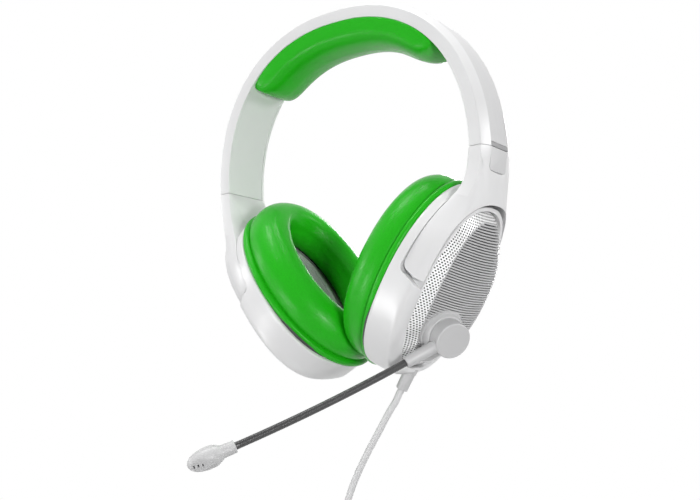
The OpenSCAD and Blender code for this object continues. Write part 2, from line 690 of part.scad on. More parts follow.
module ear_cushion(s) {
    rings = [for (i = [0 : cushion_steps - 1]) let (t = 360 * i / cushion_steps,
        way = [cos(t) / cushion_mid_y, sin(t) / cushion_mid_h], d = way / norm(way))
        [for (q = cushion_section) press_flat(cup_point([cushion_back - q[0],
            cushion_mid_y * cos(t) + d[0] * q[1], cushion_mid_h * sin(t) + d[1] * q[1] + cushion_mid_up]))]];
    color(green) on_head() sided(s) skin(rings, closed = true);
}
module ear_cushion_left() { ear_cushion(1); }
module ear_cushion_right() { ear_cushion(-1); }

// ---------- wiring board ----------

module wiring_board() {
    color(board_green) in_cup(1) {
        translate([shelf_a, -9, -38]) cube([1.6, 18, 9]);
        for (g = [-1, 1]) translate([shelf_a + 1.6, g * 5 - 1.5, -36]) cube([2.4, 3, 4]);
    }
}

// ---------- microphone ----------

boss_h = 5;
socket_h = 7;
socket_mid = boss_h + 0.2 + socket_h / 2;
spindle_r = 2.6;
arm_r = 3;
arm_reach = 24;
arm_drop = 0.35;     // arm of the socket below the middle of the socket

// Boss on the grille, with a flange behind it
module mic_boss() {
    color(grey) in_cup(1) on_mic() rotate_extrude($fn = 72)
        polygon([[spindle_r + run_gap, -5], [boss_r - 0.6, -5], [boss_r, -4], [boss_r, 1.5],
            [socket_r + 0.6, boss_h], [spindle_r + run_gap, boss_h]]);
}

module mic_spindle() {
    color(steel) in_cup(1) on_mic() {
        translate([0, 0, -6.2]) cylinder(h = 1.2, r = spindle_r + 1.6, $fn = 48);
        translate([0, 0, -5]) cylinder(h = boss_h + 5 + 0.2 + socket_h - 1.4, r = spindle_r, $fn = 48);
    }
}

// Places its children at the pivot with X along the boom
module on_boom() {
    in_cup(1) on_mic() translate([0, 0, socket_mid]) rotate([0, 0, boom_yaw]) children();
}
boom_yaw = boom_drop - 90;

module boom_socket() {
    color(grey) difference() {
        union() {
            in_cup(1) on_mic() translate([0, 0, boss_h + 0.2])
                cylinder(h = socket_h - 1.2, r = socket_r, $fn = 72);
            on_boom() translate([socket_r - 0.8, 0, -arm_drop]) rotate([0, 90, 0])
                cylinder(h = arm_reach - socket_r + 0.8, r1 = arm_r + 0.1, r2 = arm_r - 0.2, $fn = 40);
        }
        in_cup(1) on_mic() {
            translate([0, 0, boss_h]) cylinder(h = socket_h + 2, r = spindle_r + run_gap, $fn = 48);
            translate([0, 0, boss_h + socket_h - 1]) cylinder(h = 3, r = socket_r + fit_gap, $fn = 72);
        }
        on_boom() translate([arm_reach - 6, 0, -arm_drop]) rotate([0, 90, 0])
            cylinder(h = 10, r = neck_r + fit_gap / 2, $fn = 32);
    }
}

module knob_cap() {
    color(grey) in_cup(1) on_mic() translate([0, 0, boss_h + socket_h - 1]) rotate_extrude($fn = 72)
        polygon([[0, 0], [socket_r, 0], [socket_r, 0.7], [socket_r - 0.5, 1.2], [0, 1.2]]);
}

// The gooseneck lies on one long arc from the socket to the microphone
neck_bend = 780;
neck_from = arm_reach - 5.8;
neck_to = boom_reach - 19;
module along_neck(reach) {
    turn = (reach - neck_from) / neck_bend * 180 / PI;
    on_boom() translate([neck_from, -neck_bend, -arm_drop]) rotate([0, 0, -turn])
        translate([0, neck_bend, 0]) children();
}

module gooseneck() {
    sweep = (neck_to - neck_from) / neck_bend * 180 / PI;
    color(dark) on_boom() translate([neck_from, -neck_bend, -arm_drop]) rotate([0, 0, 90 - sweep])
        rotate_extrude(angle = sweep, $fn = 720) translate([neck_bend, 0]) circle(r = neck_r, $fn = 32);
}

collar_len = 7;
module mic_collar() {
    color(grey) along_neck(neck_to) rotate([0, 90, 0]) difference() {
        translate([0, 0, -3.5]) cylinder(h = collar_len, r1 = neck_r + 1.1, r2 = neck_r + 1.7, $fn = 40);
        translate([0, 0, -5]) cylinder(h = 5, r = neck_r + fit_gap / 2, $fn = 32);
    }
}

head_len = 18.5;
capsule_r = 3.1;
module mic_housing() {
    color(grey) along_neck(neck_to) translate([collar_len - 3.5, 0, 0]) difference() {
        rotate([0, 90, 0]) rotate_extrude($fn = 64) polygon(concat([[0, 0], [3, 0]],
            [for (t = [0 : 10 : 90]) [mic_r - (mic_r - 3) * (1 - sin(t)), 4 * (1 - cos(t)) + 0.6]],
            [for (t = [0 : 10 : 90]) [mic_r * cos(t), head_len - mic_r + mic_r * sin(t)]]));
        translate([head_len * 0.3, 0, mic_r - 3.2]) cylinder(h = 4.2, r = capsule_r + fit_gap, $fn = 40);
        for (i = [-1 : 1]) translate([head_len * 0.62 + i * 2.2, -2.2, mic_r - 2]) cube([1.1, 4.4, 3]);
    }
}
module mic_capsule() {
    color(dark) along_neck(neck_to) translate([collar_len - 3.5 + head_len * 0.3, 0, mic_r - 3.1])
        cylinder(h = 2.3, r = capsule_r, $fn = 40);
}

// ---------- lead ----------

lead_r = lead_d / 2;
relief_in = 3;       // part of the strain relief held in the wall of the cup
module strain_relief() {
    color(grey) in_cup(1) translate(relief_mid + [0, 0, -relief_out]) mirror([0, 0, 1])
        rotate_extrude($fn = 48) polygon([[0, -relief_in], [relief_hole_r - fit_gap, -relief_in],
            [relief_hole_r - fit_gap, 0], [relief_base_r, 0.6], [lead_r + 1.2, relief_len - 1.6],
            [lead_r + 1.2, relief_len], [0, relief_len]]);
}

// End of the strain relief and the way the lead leaves it
lead_start = cup_point(relief_mid + [0, 0, -relief_out - relief_len]);
lead_dir = turn_y([0, 0, -1], cup_lean);

// The stored coil hangs flat on to the front, turns in from its outer loop, climbs to the
// second layer where it is tightest and turns out again.
coil_mid = [8, 7, -201];
coil_pitch = lead_d + 0.5;
coil_half = coil_loops / 2;                  // loops in one layer
coil_mean = 6 * lead_d;                      // radius at the middle of the turns
coil_out = coil_mean + coil_half / 2 * coil_pitch;
coil_tail = 22;                              // straight end that hangs to the plug
loop_rings = 24;
function coil_radius(t) = coil_out - coil_pitch * (coil_half - abs(t / 360 - coil_half));
function coil_layer(t) = coil_pitch * (smooth((t - coil_half * 360 + 90) / 180) - 0.5);
function coil_at(t) = coil_mid + [-coil_radius(t) * cos(t), coil_layer(t), -coil_radius(t) * sin(t)];
coil_turns = [for (i = [0 : coil_loops * loop_rings]) coil_at(i * 360 / loop_rings)];
coil_first = coil_at(0) + [0, 0, lead_d];
coil_last = coil_at(coil_loops * 360) - [0, 0, coil_tail];
coil_path = concat([coil_first], coil_turns, [coil_last + [0, 0, coil_tail - lead_d], coil_last]);

// Least distance between the surfaces of turns that are more than half a loop apart
coil_gaps = [for (i = [0 : len(coil_turns) - 1], j = [i + loop_rings / 2 : len(coil_turns) - 1])
    norm(coil_turns[i] - coil_turns[j])];
echo(least_gap_of_the_coil = min(coil_gaps) - lead_d);

// Route of the lead from the strain relief to the coil, from the lower ends of the band
lead_route = [lead_start, lead_start + lead_dir * 4, lead_start + lead_dir * 8,
    [10, 5, -121], [3, 5, -131], [-4, 5, -141], [-10, 5, -150.5], [-15, 5, -160], [-18.7, 5, -170],
    [-20.6, 5, -179], [coil_first.x, 5, -186], [coil_first.x, 5, -191], coil_first];

function length_of(p, i = 1) = i < len(p) ? norm(p[i] - p[i - 1]) + length_of(p, i + 1) : 0;
echo(length_of_the_lead = length_of(lead_route) + length_of(coil_path));

// A point on a smooth curve through four neighbours
function spline(a, b, c, d, t) = 0.5 * (2 * b + (c - a) * t + (2 * a - 5 * b + 4 * c - d) * t * t
    + (3 * b - a - 3 * c + d) * t * t * t);
function smoothed(p, n) = concat([for (i = [0 : len(p) - 2], k = [0 : n - 1])
    spline(p[max(0, i - 1)], p[i], p[i + 1], p[min(len(p) - 1, i + 2)], k / n)], [p[len(p) - 1]]);

// A tube of round section along a path, with the cut across the first and last piece square
module tube(p, r, sides) {
    n = len(p);
    way = [for (i = [0 : n - 1]) let (d = p[min(n - 1, i + 1)] - p[max(0, i - 1)]) d / norm(d)];
    skin([for (i = [0 : n - 1]) let (u = cross(way[i], [0, 1, 0]), e = u / norm(u), f = cross(way[i], e))
        [for (k = [0 : sides - 1]) p[i] + r * (e * cos(360 * k / sides) + f * sin(360 * k / sides))]]);
}

module lead_cord() { color(grey) on_head() tube(smoothed(lead_route, 2), lead_r, 8); }
module lead_coil() { color(grey) on_head() tube(coil_path, lead_r, 6); }

// Strap round all the turns at the top of the coil
tie_w = 6;
tie_t = 1;
tie_slack = 0.35;
module coil_tie() {
    low = coil_out - coil_pitch * (coil_half - 0.25) - lead_r - tie_slack - 0.4;
    high = coil_out - coil_pitch * 0.25 + lead_r + tie_slack;
    half = coil_pitch / 2 + lead_r + tie_slack;
    color(dark) on_head() translate(coil_mid + [-tie_w / 2, 0, 0]) rotate([90, 0, 90])
        linear_extrude(tie_w) difference() {
            translate([-half - tie_t, low - tie_t]) square([2 * half + 2 * tie_t, high - low + 2 * tie_t]);
            translate([-half, low]) square([2 * half, high - low]);
        }
}

// Moulded grip and pin of the plug
boot_r = 4.1;
boot_len = 27;
pin_long = 14;
plug_r = 1.75;
module on_plug() { on_head() translate(coil_last) mirror([0, 0, 1]) children(); }
module plug_boot() {
    color(grey) on_plug() rotate_extrude($fn = 48)
        polygon([[0, 0], [lead_r + 0.6, 0], [lead_r + 1.1, 9], [boot_r - 0.9, 10.5], [boot_r, 12.5],
            [boot_r, boot_len - 0.8], [boot_r - 0.8, boot_len], [0, boot_len]]);
}
module plug_pin() {
    color(plug_gold) on_plug() translate([0, 0, boot_len]) rotate_extrude($fn = 48)
        polygon([[0, 0], [plug_r, 0], [plug_r, pin_long - 3], [1.15, pin_long - 2.2], [1.6, pin_long - 1.4],
            [0.9, pin_long - 0.2], [0, pin_long]]);
}

band_shell();
inner_cover();
spring_band();
head_cushion();
crown_strip();
strip_bar_left();
strip_bar_right();
slider_guide_left();
slider_guide_right();
slider_rail_left();
slider_rail_right();
yoke_left();
yoke_right();
yoke_insert_left();
yoke_insert_right();
pivot_pins_left();
pivot_pins_right();
cup_housing_left();
cup_housing_right();
grille_rim_left();
grille_rim_right();
grille_slats_left();
grille_slats_right();
baffle_left();
baffle_right();
driver_basket_left();
driver_basket_right();
driver_magnet_left();
driver_magnet_right();
diaphragm_left();
diaphragm_right();
ear_screen_left();
ear_screen_right();
cushion_carrier_left();
cushion_carrier_right();
ear_cushion_left();
ear_cushion_right();
wiring_board();
mic_boss();
mic_spindle();
boom_socket();
knob_cap();
gooseneck();
mic_collar();
mic_housing();
mic_capsule();
strain_relief();
lead_cord();
lead_coil();
coil_tie();
plug_boot();
plug_pin();
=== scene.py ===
"""Dresses an over-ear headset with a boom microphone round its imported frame.

Sizes in this file are millimetres, and build_mesh() turns them into Blender's metres. The origin is where the
top of the head meets the head cushion, +X is the wearer's left, and the wearer faces -Y.
"""

import math

import bmesh
import bpy
import numpy as np
from mathutils import Matrix, Vector


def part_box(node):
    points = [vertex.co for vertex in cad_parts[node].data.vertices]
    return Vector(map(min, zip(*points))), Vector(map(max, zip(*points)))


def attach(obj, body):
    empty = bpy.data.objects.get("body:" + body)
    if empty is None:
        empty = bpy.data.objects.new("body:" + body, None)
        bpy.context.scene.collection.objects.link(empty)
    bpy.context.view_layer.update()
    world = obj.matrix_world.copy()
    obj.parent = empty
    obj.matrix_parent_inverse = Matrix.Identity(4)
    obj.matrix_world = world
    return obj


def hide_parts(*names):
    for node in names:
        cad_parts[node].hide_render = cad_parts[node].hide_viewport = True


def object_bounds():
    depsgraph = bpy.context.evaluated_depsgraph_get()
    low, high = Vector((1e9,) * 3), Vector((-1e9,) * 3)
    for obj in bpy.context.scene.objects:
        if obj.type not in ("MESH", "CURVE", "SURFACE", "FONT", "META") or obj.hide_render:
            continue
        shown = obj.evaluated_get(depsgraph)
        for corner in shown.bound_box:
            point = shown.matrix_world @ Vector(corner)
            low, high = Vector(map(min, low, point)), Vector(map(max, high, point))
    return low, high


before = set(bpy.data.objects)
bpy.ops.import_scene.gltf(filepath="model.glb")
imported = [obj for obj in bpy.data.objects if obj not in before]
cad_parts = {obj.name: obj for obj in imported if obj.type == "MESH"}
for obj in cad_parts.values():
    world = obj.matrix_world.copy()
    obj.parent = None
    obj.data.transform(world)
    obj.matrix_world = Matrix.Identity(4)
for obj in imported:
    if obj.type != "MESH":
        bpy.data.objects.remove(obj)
CAD_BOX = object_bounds()

bl_info = {
    "name": "Over-ear headset",
    "version": (1, 0, 0),
    "blender": (4, 5, 0),
    "location": "View3D > Sidebar > Headset",
    "description": "Builds the shells, cushions, grilles, microphone and lead of an over-ear headset",
    "category": "Add Mesh",
}

SIDES = {"left": 1, "right": -1}

# ---------- sizes shared with the solids, in millimetres ----------

CROWN_TO_BAND_ENDS = 65.0       # the head cushion's underside above the band's lower ends
BAND_HALF_W, BAND_H, ARCH_N = 73.0, 78.5, 2.25
BAND_W, BAND_T, CROWN_RISE, CROWN_W, BAND_WALL = 30.0, 6.2, 2.4, 17.2, 1.7
CROWN_R = BAND_T + CROWN_RISE
ARCH_OUT_W, ARCH_OUT_H = BAND_HALF_W + BAND_T, BAND_H + BAND_T
STRIP_T, STRIP_RECESS, BAR_LEN = 0.8, 1.0, 2.0
BAR_TURN = math.degrees(math.asin((BAR_LEN / ARCH_OUT_H) ** (ARCH_N / 2)))
PAD_DEPTH, PAD_W, PAD_END = 13.5, 29.4, 42.6
CUP_MID = np.array([36.5, 2.1, -57.1 - CROWN_TO_BAND_ENDS])
CUP_LEAN, CUP_TURN = 32.5, 4.5
CUP_RY, CUP_RH, CUP_DEPTH, CUP_WALL = 38.6, 50.2, 17.6, 2.2
RIM_A, LEDGE_A = -2.0, 3.1
NECK_A = RIM_A + CUP_DEPTH
NECK_RY, NECK_RH, NECK_N, NECK_UP = CUP_RY - 5.3, CUP_RH - 5.7, 2.44, 1.1
LOW_SQUARE, LOW_TRIM = 0.42, 2.4
ARM_END_H, ARM_CORNER, ARM_SLANT, YOKE_GAP, ARM_GAP = 4.9, 4.0, 3.6, 0.5, 1.0
GRILLE_RISE, GRILLE_T, DOME_SKEW = 15.1, 1.6, 3.4
CUSHION_DEPTH, CUSHION_OUT, CUSHION_IN, CUSHION_UP = 19.8, 12.1, 8.3, 0.6
CARRIER_A = RIM_A - 1.6
SHELF_A, BAFFLE_T, SCREEN_T = 1.2, 2.2, 4.5
MIC_MID, MIC_LEAN, SOCKET_R, BOSS_R = (24.0, -11.0, -16.1), 31.0, 8.8, 10.4
BOSS_H, SOCKET_H, BOOM_DROP = 5.0, 7.0, 46.5
ARM_REACH, ARM_R, ARM_DROP = 24.0, 3.0, 0.35
NECK_R, NECK_BEND, MIC_R, COLLAR_LEN, HEAD_LEN = 1.75, 780.0, 5.0, 6.4, 16.0
LEAD_D, RELIEF_LEN = 3.5, 9.4
HEAD_FROM = 116.7               # where the collar ends and the microphone's head begins
COIL_LOOPS, COIL_TAIL = 8, 22.0
BOOT_R, BOOT_LEN = 4.1, 27.0
SPINDLE_HOLE, NECK_HOLE = 2.65, NECK_R + 0.05
SOCKET_LOW, SOCKET_TOP = BOSS_H + 0.2, BOSS_H + SOCKET_H - 1
NECK_FROM = ARM_REACH - 5.8     # where the gooseneck begins, inside its arm
ON_AXIS = 0.01                  # radius of a turned profile's two ends, which close on the axis
ROUND_STEPS = 96                # points in an outline of the cup


# ---------- shapes ----------

def rad(degrees):
    return math.radians(degrees)


def turned(degrees, axis):
    return Matrix.Rotation(rad(degrees), 4, axis)


def moved(*way):
    return Matrix.Translation(way)


def mirrored(side):
    return Matrix.Diagonal((side, 1, 1, 1))


def unit(v):
    return v / np.linalg.norm(v)


def mix(a, b, t):
    return a + (b - a) * t


def clamp(t, low=0.0, high=1.0):
    return min(high, max(low, t))


def smooth(t):
    t = np.clip(t, 0, 1)
    return t * t * (3 - 2 * t)


def spow(v, p):
    return np.sign(v) * np.abs(v) ** p


def oval(ry, rh, n, t):
    """A point of a squared oval at angle t, in degrees."""
    return ry * spow(math.cos(rad(t)), 2 / n), rh * spow(math.sin(rad(t)), 2 / n)


def arch(t, r):
    """(x, z) of the band at angle t, r out from its inside face."""
    inside = np.array(oval(BAND_HALF_W, BAND_H, ARCH_N, t))
    outside = np.array(oval(ARCH_OUT_W, ARCH_OUT_H, ARCH_N, t))
    x, z = inside + unit(outside - inside) * r
    return x, z - CROWN_TO_BAND_ENDS


def in_cup(side=1):
    """The frame of a cup: X out through the grille, Y back, Z up along the cup."""
    return mirrored(side) @ moved(*CUP_MID) @ turned(CUP_LEAN, "Y") @ turned(CUP_TURN, "Z")


def on_mic():
    """The frame of the boom's joint: Z out along the axis it turns on."""
    return in_cup() @ moved(*MIC_MID) @ turned(-MIC_LEAN, "Z") @ turned(90, "Y")


def on_boom():
    """The frame of the boom's arm: X out along the arm."""
    return on_mic() @ moved(0, 0, SOCKET_LOW + SOCKET_H / 2) @ turned(BOOM_DROP - 90, "Z")


def along_neck(reach):
    """The frame on the gooseneck's middle line at a reach from the pivot, X towards the microphone."""
    turn = (reach - NECK_FROM) / NECK_BEND
    start = moved(NECK_FROM, -NECK_BEND, -ARM_DROP)
    return on_boom() @ start @ turned(-math.degrees(turn), "Z") @ moved(0, NECK_BEND, 0)


def cup_point(a, y, h):
    return np.array(in_cup() @ Vector((a, y, h)))


def low_share(a):
    return clamp((NECK_A - a) / CUP_DEPTH)


def cup_ring(ring, grow=0.0):
    """One outline of the cup. A ring is out, half width, half height, squareness, shift up, shift forward."""
    a, ry, rh, n, up, forward = ring
    points = []
    for i in range(ROUND_STEPS):
        t = 360 * i / ROUND_STEPS
        low = low_share(a) if t > 180 else 0.0
        square = n + (LOW_SQUARE * low if math.cos(rad(t)) < 0 else 0.0)
        y, h = oval(ry + grow, rh + grow - LOW_TRIM * low, square, t)
        points.append((a, y - forward, h + up))
    return np.array(points)


CUP_RINGS = [
    (RIM_A, CUP_RY - 0.6, CUP_RH - 0.6, 2, 0, 0),
    (RIM_A + 0.8, CUP_RY, CUP_RH, 2, 0, 0),
    (LEDGE_A, CUP_RY - 0.5, CUP_RH - 0.6, 2.02, 0, 0.5),
    (RIM_A + CUP_DEPTH * 0.64, CUP_RY - 1.5, CUP_RH - 1.7, 2.15, 0.3, 1.5),
    (RIM_A + CUP_DEPTH * 0.88, CUP_RY - 3.2, CUP_RH - 3.6, 2.62, 0.8, 2.1),
    (NECK_A, NECK_RY, NECK_RH, NECK_N, NECK_UP, 0),
]
RIM_RING, NECK_RING = CUP_RINGS[1], CUP_RINGS[-1]


def spline(points, steps):
    """A smooth curve through points, with steps pieces between neighbours."""
    p = np.asarray(points, float)
    out = []
    for i in range(len(p) - 1):
        a, b, c, d = p[max(0, i - 1)], p[i], p[i + 1], p[min(len(p) - 1, i + 2)]
        for k in range(steps):
            t = k / steps
            out.append(0.5 * (2 * b + (c - a) * t + (2 * a - 5 * b + 4 * c - d) * t ** 2
                              + (3 * b - a - 3 * c + d) * t ** 3))
    out.append(p[-1])
    return np.array(out)


def rounded(corners, closed=True, steps=3):
    """A polygon with rounded corners. Each corner is (u, v, radius)."""
    out = []
    count = len(corners)
    for i, (u, v, r) in enumerate(corners):
        here = np.array((u, v), float)
        if r == 0 or (not closed and i in (0, count - 1)):
            out.append(here)
            continue
        back = np.array(corners[i - 1][:2], float) - here
        ahead = np.array(corners[(i + 1) % count][:2], float) - here
        lb, la = np.linalg.norm(back), np.linalg.norm(ahead)
        back, ahead = back / lb, ahead / la
        half = math.acos(clamp(float(back @ ahead), -1.0)) / 2
        reach = min(r / max(math.tan(half), 1e-6), 0.49 * lb, 0.49 * la)
        for k in range(steps + 1):
            t = k / steps
            out.append((1 - t) ** 2 * (here + back * reach) + 2 * t * (1 - t) * here
                       + t ** 2 * (here + ahead * reach))
    return [tuple(p) for p in out]


def circle(steps):
    """The angles of a full turn, in radians."""
    return np.linspace(0, 2 * math.pi, steps, endpoint=False)


def arc(u, v, r, start, end, steps):
    """Points of an arc from start to end, in degrees."""
    angles = [rad(mix(start, end, i / steps)) for i in range(steps + 1)]
    return [(u + r * math.cos(t), v + r * math.sin(t)) for t in angles]


# ---------- meshes ----------

def skin(rings, closed=False, caps=True):
    """(points, faces) of a skin over rings of equal length."""
    rings = np.asarray(rings, float)
    n, m = rings.shape[:2]
    faces = []
    for i in range(n if closed else n - 1):
        k = (i + 1) % n
        for j in range(m):
            l = (j + 1) % m
            faces.append((i * m + j, k * m + j, k * m + l, i * m + l))
    if caps and not closed:
        faces.append(tuple(range(m)))
        faces.append(tuple((n - 1) * m + j for j in reversed(range(m))))
    return rings.reshape(-1, 3), faces


def placed(shape, matrix):
    points, faces = shape
    m = np.array(matrix)
    return points @ m[:3, :3].T + m[:3, 3], faces


def together(*shapes):
    """Several closed shapes as one."""
    points, faces, count = [], [], 0
    for p, f in shapes:
        points.append(p)
        faces.extend(tuple(i + count for i in face) for face in f)
        count += len(p)
    return np.concatenate(points), faces


def build_mesh(name, shape, sharp=40):
    """A shaded mesh object from a shape in millimetres."""
    points, faces = shape
    mesh = bpy.data.meshes.new(name)
    mesh.from_pydata((points / 1000).tolist(), [], faces)
    body = bmesh.new()
    body.from_mesh(mesh)
    bmesh.ops.remove_doubles(body, verts=body.verts, dist=2e-6)
    bmesh.ops.recalc_face_normals(body, faces=body.faces)
    body.to_mesh(mesh)
    body.free()
    return smooth_by_angle(linked(name, mesh), sharp)


def linked(name, data):
    """A new object in the scene."""
    made = bpy.data.objects.new(name, data)
    bpy.context.scene.collection.objects.link(made)
    return made


def smooth_by_angle(piece, sharp):
    piece.data.shade_smooth()
    piece.data.set_sharp_from_angle(angle=rad(sharp))
    return piece


def baked(piece):
    """Turns a piece's modifiers into its mesh."""
    bpy.context.view_layer.update()
    done = piece.evaluated_get(bpy.context.evaluated_depsgraph_get())
    piece.data = bpy.data.meshes.new_from_object(done)
    piece.modifiers.clear()
    return piece


def cut(piece, tool, how="DIFFERENCE"):
    """Cuts a tool shape out of a piece, or joins it on, and removes the tool."""
    cutter = build_mesh(piece.name + "_tool", tool)
    step = piece.modifiers.new("cut", "BOOLEAN")
    step.operation, step.object, step.solver = how, cutter, "EXACT"
    baked(piece)
    bpy.data.objects.remove(cutter)
    return piece


def soften(piece, width, angle=32, segments=2, sharp=50):
    """Rounds the sharp edges of a piece by width, in millimetres."""
    step = piece.modifiers.new("edges", "BEVEL")
    step.limit_method, step.angle_limit = "ANGLE", rad(angle)
    step.width, step.segments = width / 1000, segments
    step.miter_outer = "MITER_ARC"
    return smooth_by_angle(baked(piece), sharp)


def band_ring(section, t):
    """A section of (out, across) points, stood across the band at angle t."""
    return [(x, y, z) for r, y in section for x, z in [arch(t, r)]]


def swept(section, turns):
    """A section swept along the band through the angles given."""
    return skin([band_ring(section, t) for t in turns])


def plate(ring, low, high, grow):
    """A flat plate between two depths of the cup, outlined by a ring."""
    return skin([[(a, y, h) for _, y, h in cup_ring(ring, grow)] for a in (low, high)])


def lathe(profile, steps=64):
    """A profile of (radius, height) points, turned round Z and closed on the axis at both ends."""
    rings = [[(r * math.cos(t), r * math.sin(t), z) for t in circle(steps)] for r, z in profile]
    points, faces = skin(rings, caps=False)
    count, top = len(points), len(rings) - 1
    points = np.vstack([points, (0, 0, profile[0][1]), (0, 0, profile[-1][1])])
    for j in range(steps):
        k = (j + 1) % steps
        faces.append((j, k, count))
        faces.append((top * steps + k, top * steps + j, count + 1))
    return points, faces


def ring_lathe(profile, steps):
    """A closed profile of (radius, height) points round a bore, turned round Z."""
    rings = [[(r * math.cos(t), r * math.sin(t), z) for r, z in profile] for t in circle(steps)]
    return skin(rings, closed=True)


def tube(path, radii, sides):
    """A tube along a path, with a radius for each point."""
    way = np.gradient(path, axis=0)
    way /= np.linalg.norm(way, axis=1)[:, None]
    side = np.cross(way, (0, 1, 0))
    side /= np.linalg.norm(side, axis=1)[:, None]
    other = np.cross(way, side)
    t = circle(sides)
    rings = (path[:, None] + radii[:, None, None] * (np.cos(t)[None, :, None] * side[:, None]
                                                     + np.sin(t)[None, :, None] * other[:, None]))
    return skin(rings)


# ---------- materials ----------

def by_node(operation):
    """A method of Wire that adds one Math node."""
    return lambda wire, *others: wire.nodes.add("ShaderNodeMath", {"operation": operation}, [wire, *others])


class Wire:
    """An output of a node, on which Python's arithmetic adds Math nodes."""

    def __init__(self, nodes, socket):
        self.nodes, self.socket = nodes, socket

    __add__ = __radd__ = by_node("ADD")
    __mul__ = __rmul__ = by_node("MULTIPLY")
    __sub__, __truediv__, __pow__ = by_node("SUBTRACT"), by_node("DIVIDE"), by_node("POWER")
    __abs__, fraction, wave = by_node("ABSOLUTE"), by_node("FRACT"), by_node("SINE")
    least, most = by_node("MINIMUM"), by_node("MAXIMUM")

    def __rsub__(self, other):
        return self.nodes.add("ShaderNodeMath", {"operation": "SUBTRACT"}, [other, self])

    def ramp(self, low, high):
        """0 below low, 1 above high, smooth between."""
        return self.nodes.add("ShaderNodeMapRange", {"interpolation_type": "SMOOTHSTEP"},
                              {"Value": self, "From Min": low, "From Max": high})


class Nodes:
    """The nodes of a material or a world, with the shader that feeds its surface."""

    def __init__(self, owner, shader, output):
        owner.use_nodes = True
        self.tree = owner.node_tree
        self.tree.nodes.clear()
        self.shader = self.tree.nodes.new(shader)
        self.tree.links.new(self.shader.outputs[0], self.tree.nodes.new(output).inputs[0])

    def add(self, kind, settings=(), values=(), output=0):
        """Adds a node with its settings and the values or links of its sockets, and returns one output."""
        node = self.tree.nodes.new(kind)
        for key, value in dict(settings).items():
            setattr(node, key, value)
        for key, value in values.items() if isinstance(values, dict) else enumerate(values):
            self.put(node.inputs[key], value)
        return Wire(self, node.outputs[output])

    def put(self, socket, value):
        if isinstance(value, Wire):
            self.tree.links.new(value.socket, socket)
        elif hasattr(socket.default_value, "__len__") and len(socket.default_value) == 4:
            socket.default_value = (*value, 1)
        else:
            socket.default_value = value

    def feed(self, socket, value):
        self.put(self.shader.inputs[socket], value)

    def seen_directly(self):
        """1 for what the camera sees, also by reflection or through something clear."""
        rays = self.tree.nodes.new("ShaderNodeLightPath").outputs
        camera, glossy, through = (Wire(self, rays[f"Is {kind} Ray"])
                                   for kind in ("Camera", "Glossy", "Transmission"))
        return camera.most(glossy).most(through)


class Finish(Nodes):
    """One material: a Principled shader and whatever feeds it."""

    def __init__(self, name, **constants):
        self.material = bpy.data.materials.new(name)
        super().__init__(self.material, "ShaderNodeBsdfPrincipled", "ShaderNodeOutputMaterial")
        for socket, value in constants.items():
            self.feed(socket.replace("_", " "), value)

    def place(self):
        """Object coordinates, in metres in the row frame."""
        return self.add("ShaderNodeTexCoord", output="Object")

    def parts(self, vector):
        return [self.add("ShaderNodeSeparateXYZ", values=[vector], output=i) for i in range(3)]

    def cup_parts(self):
        """Coordinates in a cup's own frame, in metres, alike in both cups: out, back, up."""
        x, y, z = self.parts(self.place())
        folded = self.add("ShaderNodeCombineXYZ", values=[abs(x), y, z])
        cup = in_cup()
        return self.parts(self.add("ShaderNodeMapping", {"vector_type": "TEXTURE"},
                                   {"Vector": folded, "Location": cup.to_translation() / 1000,
                                    "Rotation": cup.to_euler()}))

    def noise(self, vector, scale, detail, roughness=0.5, stretch=None):
        if stretch:
            vector = self.add("ShaderNodeVectorMath", {"operation": "MULTIPLY"}, [vector, stretch])
        return self.add("ShaderNodeTexNoise", values={"Vector": vector, "Scale": scale, "Detail": detail,
                                                      "Roughness": roughness}, output="Fac")

    def blend(self, factor, a, b):
        """Mixes two colours."""
        return self.add("ShaderNodeMix", {"data_type": "RGBA"}, {0: factor, 6: a, 7: b}, output=2)

    def shades(self, factor, colour, low, high):
        """From a share of a colour to another share of it."""
        return self.blend(factor, tint(colour, low), tint(colour, high))

    def surface(self, colour, roughness, height, depth):
        """Feeds the shader's colour, roughness and normal. The depth is in millimetres at height 1."""
        self.feed("Base Color", colour)
        self.feed("Roughness", roughness)
        self.feed("Normal", self.add("ShaderNodeBump", values={"Height": height, "Distance": depth / 1000,
                                                               "Strength": 1.0}))
        return self.material


def tint(colour, share):
    """A colour made darker or lighter by a share."""
    return tuple(clamp(c * share) for c in colour)


def moulded(name, colour, roughness, grain, coat=0.0):
    """Injection-moulded plastic: a fine spark-eroded grain and faint flow of tone."""
    f = Finish(name, Coat_Weight=coat, Coat_Roughness=0.25)
    here = f.place()
    flow = f.noise(here, 38, 3)
    scuff = f.noise(here, 420, 4, 0.7).ramp(0.56, 0.74)
    return f.surface(f.shades(flow.ramp(0.3, 0.7), colour, 0.975, 1.01), roughness + flow * 0.06 + scuff * 0.07,
                     f.noise(here, 2600, 2, 0.6), grain)


def leatherette(name, colour, grain, crease):
    """Soft coated cloth: a skin grain of small cells, finer pores, shallow creases and painted crease shade."""
    f = Finish(name, Specular_IOR_Level=0.16)
    here = f.place()
    stir = f.add("ShaderNodeTexNoise", values={"Vector": here, "Scale": 300.0, "Detail": 1.0}, output="Color")
    bent = f.add("ShaderNodeVectorMath", {"operation": "ADD"}, [here, stir])
    cell = f.add("ShaderNodeTexVoronoi", {"feature": "DISTANCE_TO_EDGE"}, {"Vector": here, "Scale": 1150},
                 output="Distance").ramp(0.0, 0.22)
    pores = f.noise(here, 3400, 2)
    soft = f.noise(here, 95, 3, stretch=(1.0, 1.6, 1.0))
    # painted shade: the tone darkens where this noise is low, standing in for shade in creases
    painted_crease_shade = f.noise(bent, 46, 2).ramp(0.42, 0.62)
    return f.surface(f.shades(cell * 0.6 + painted_crease_shade * 0.4, colour, 0.86, 1.04), 0.22 - cell * 0.04 + soft * 0.07,
                     cell * grain + pores * (grain * 0.3) + soft * crease, 1.0)


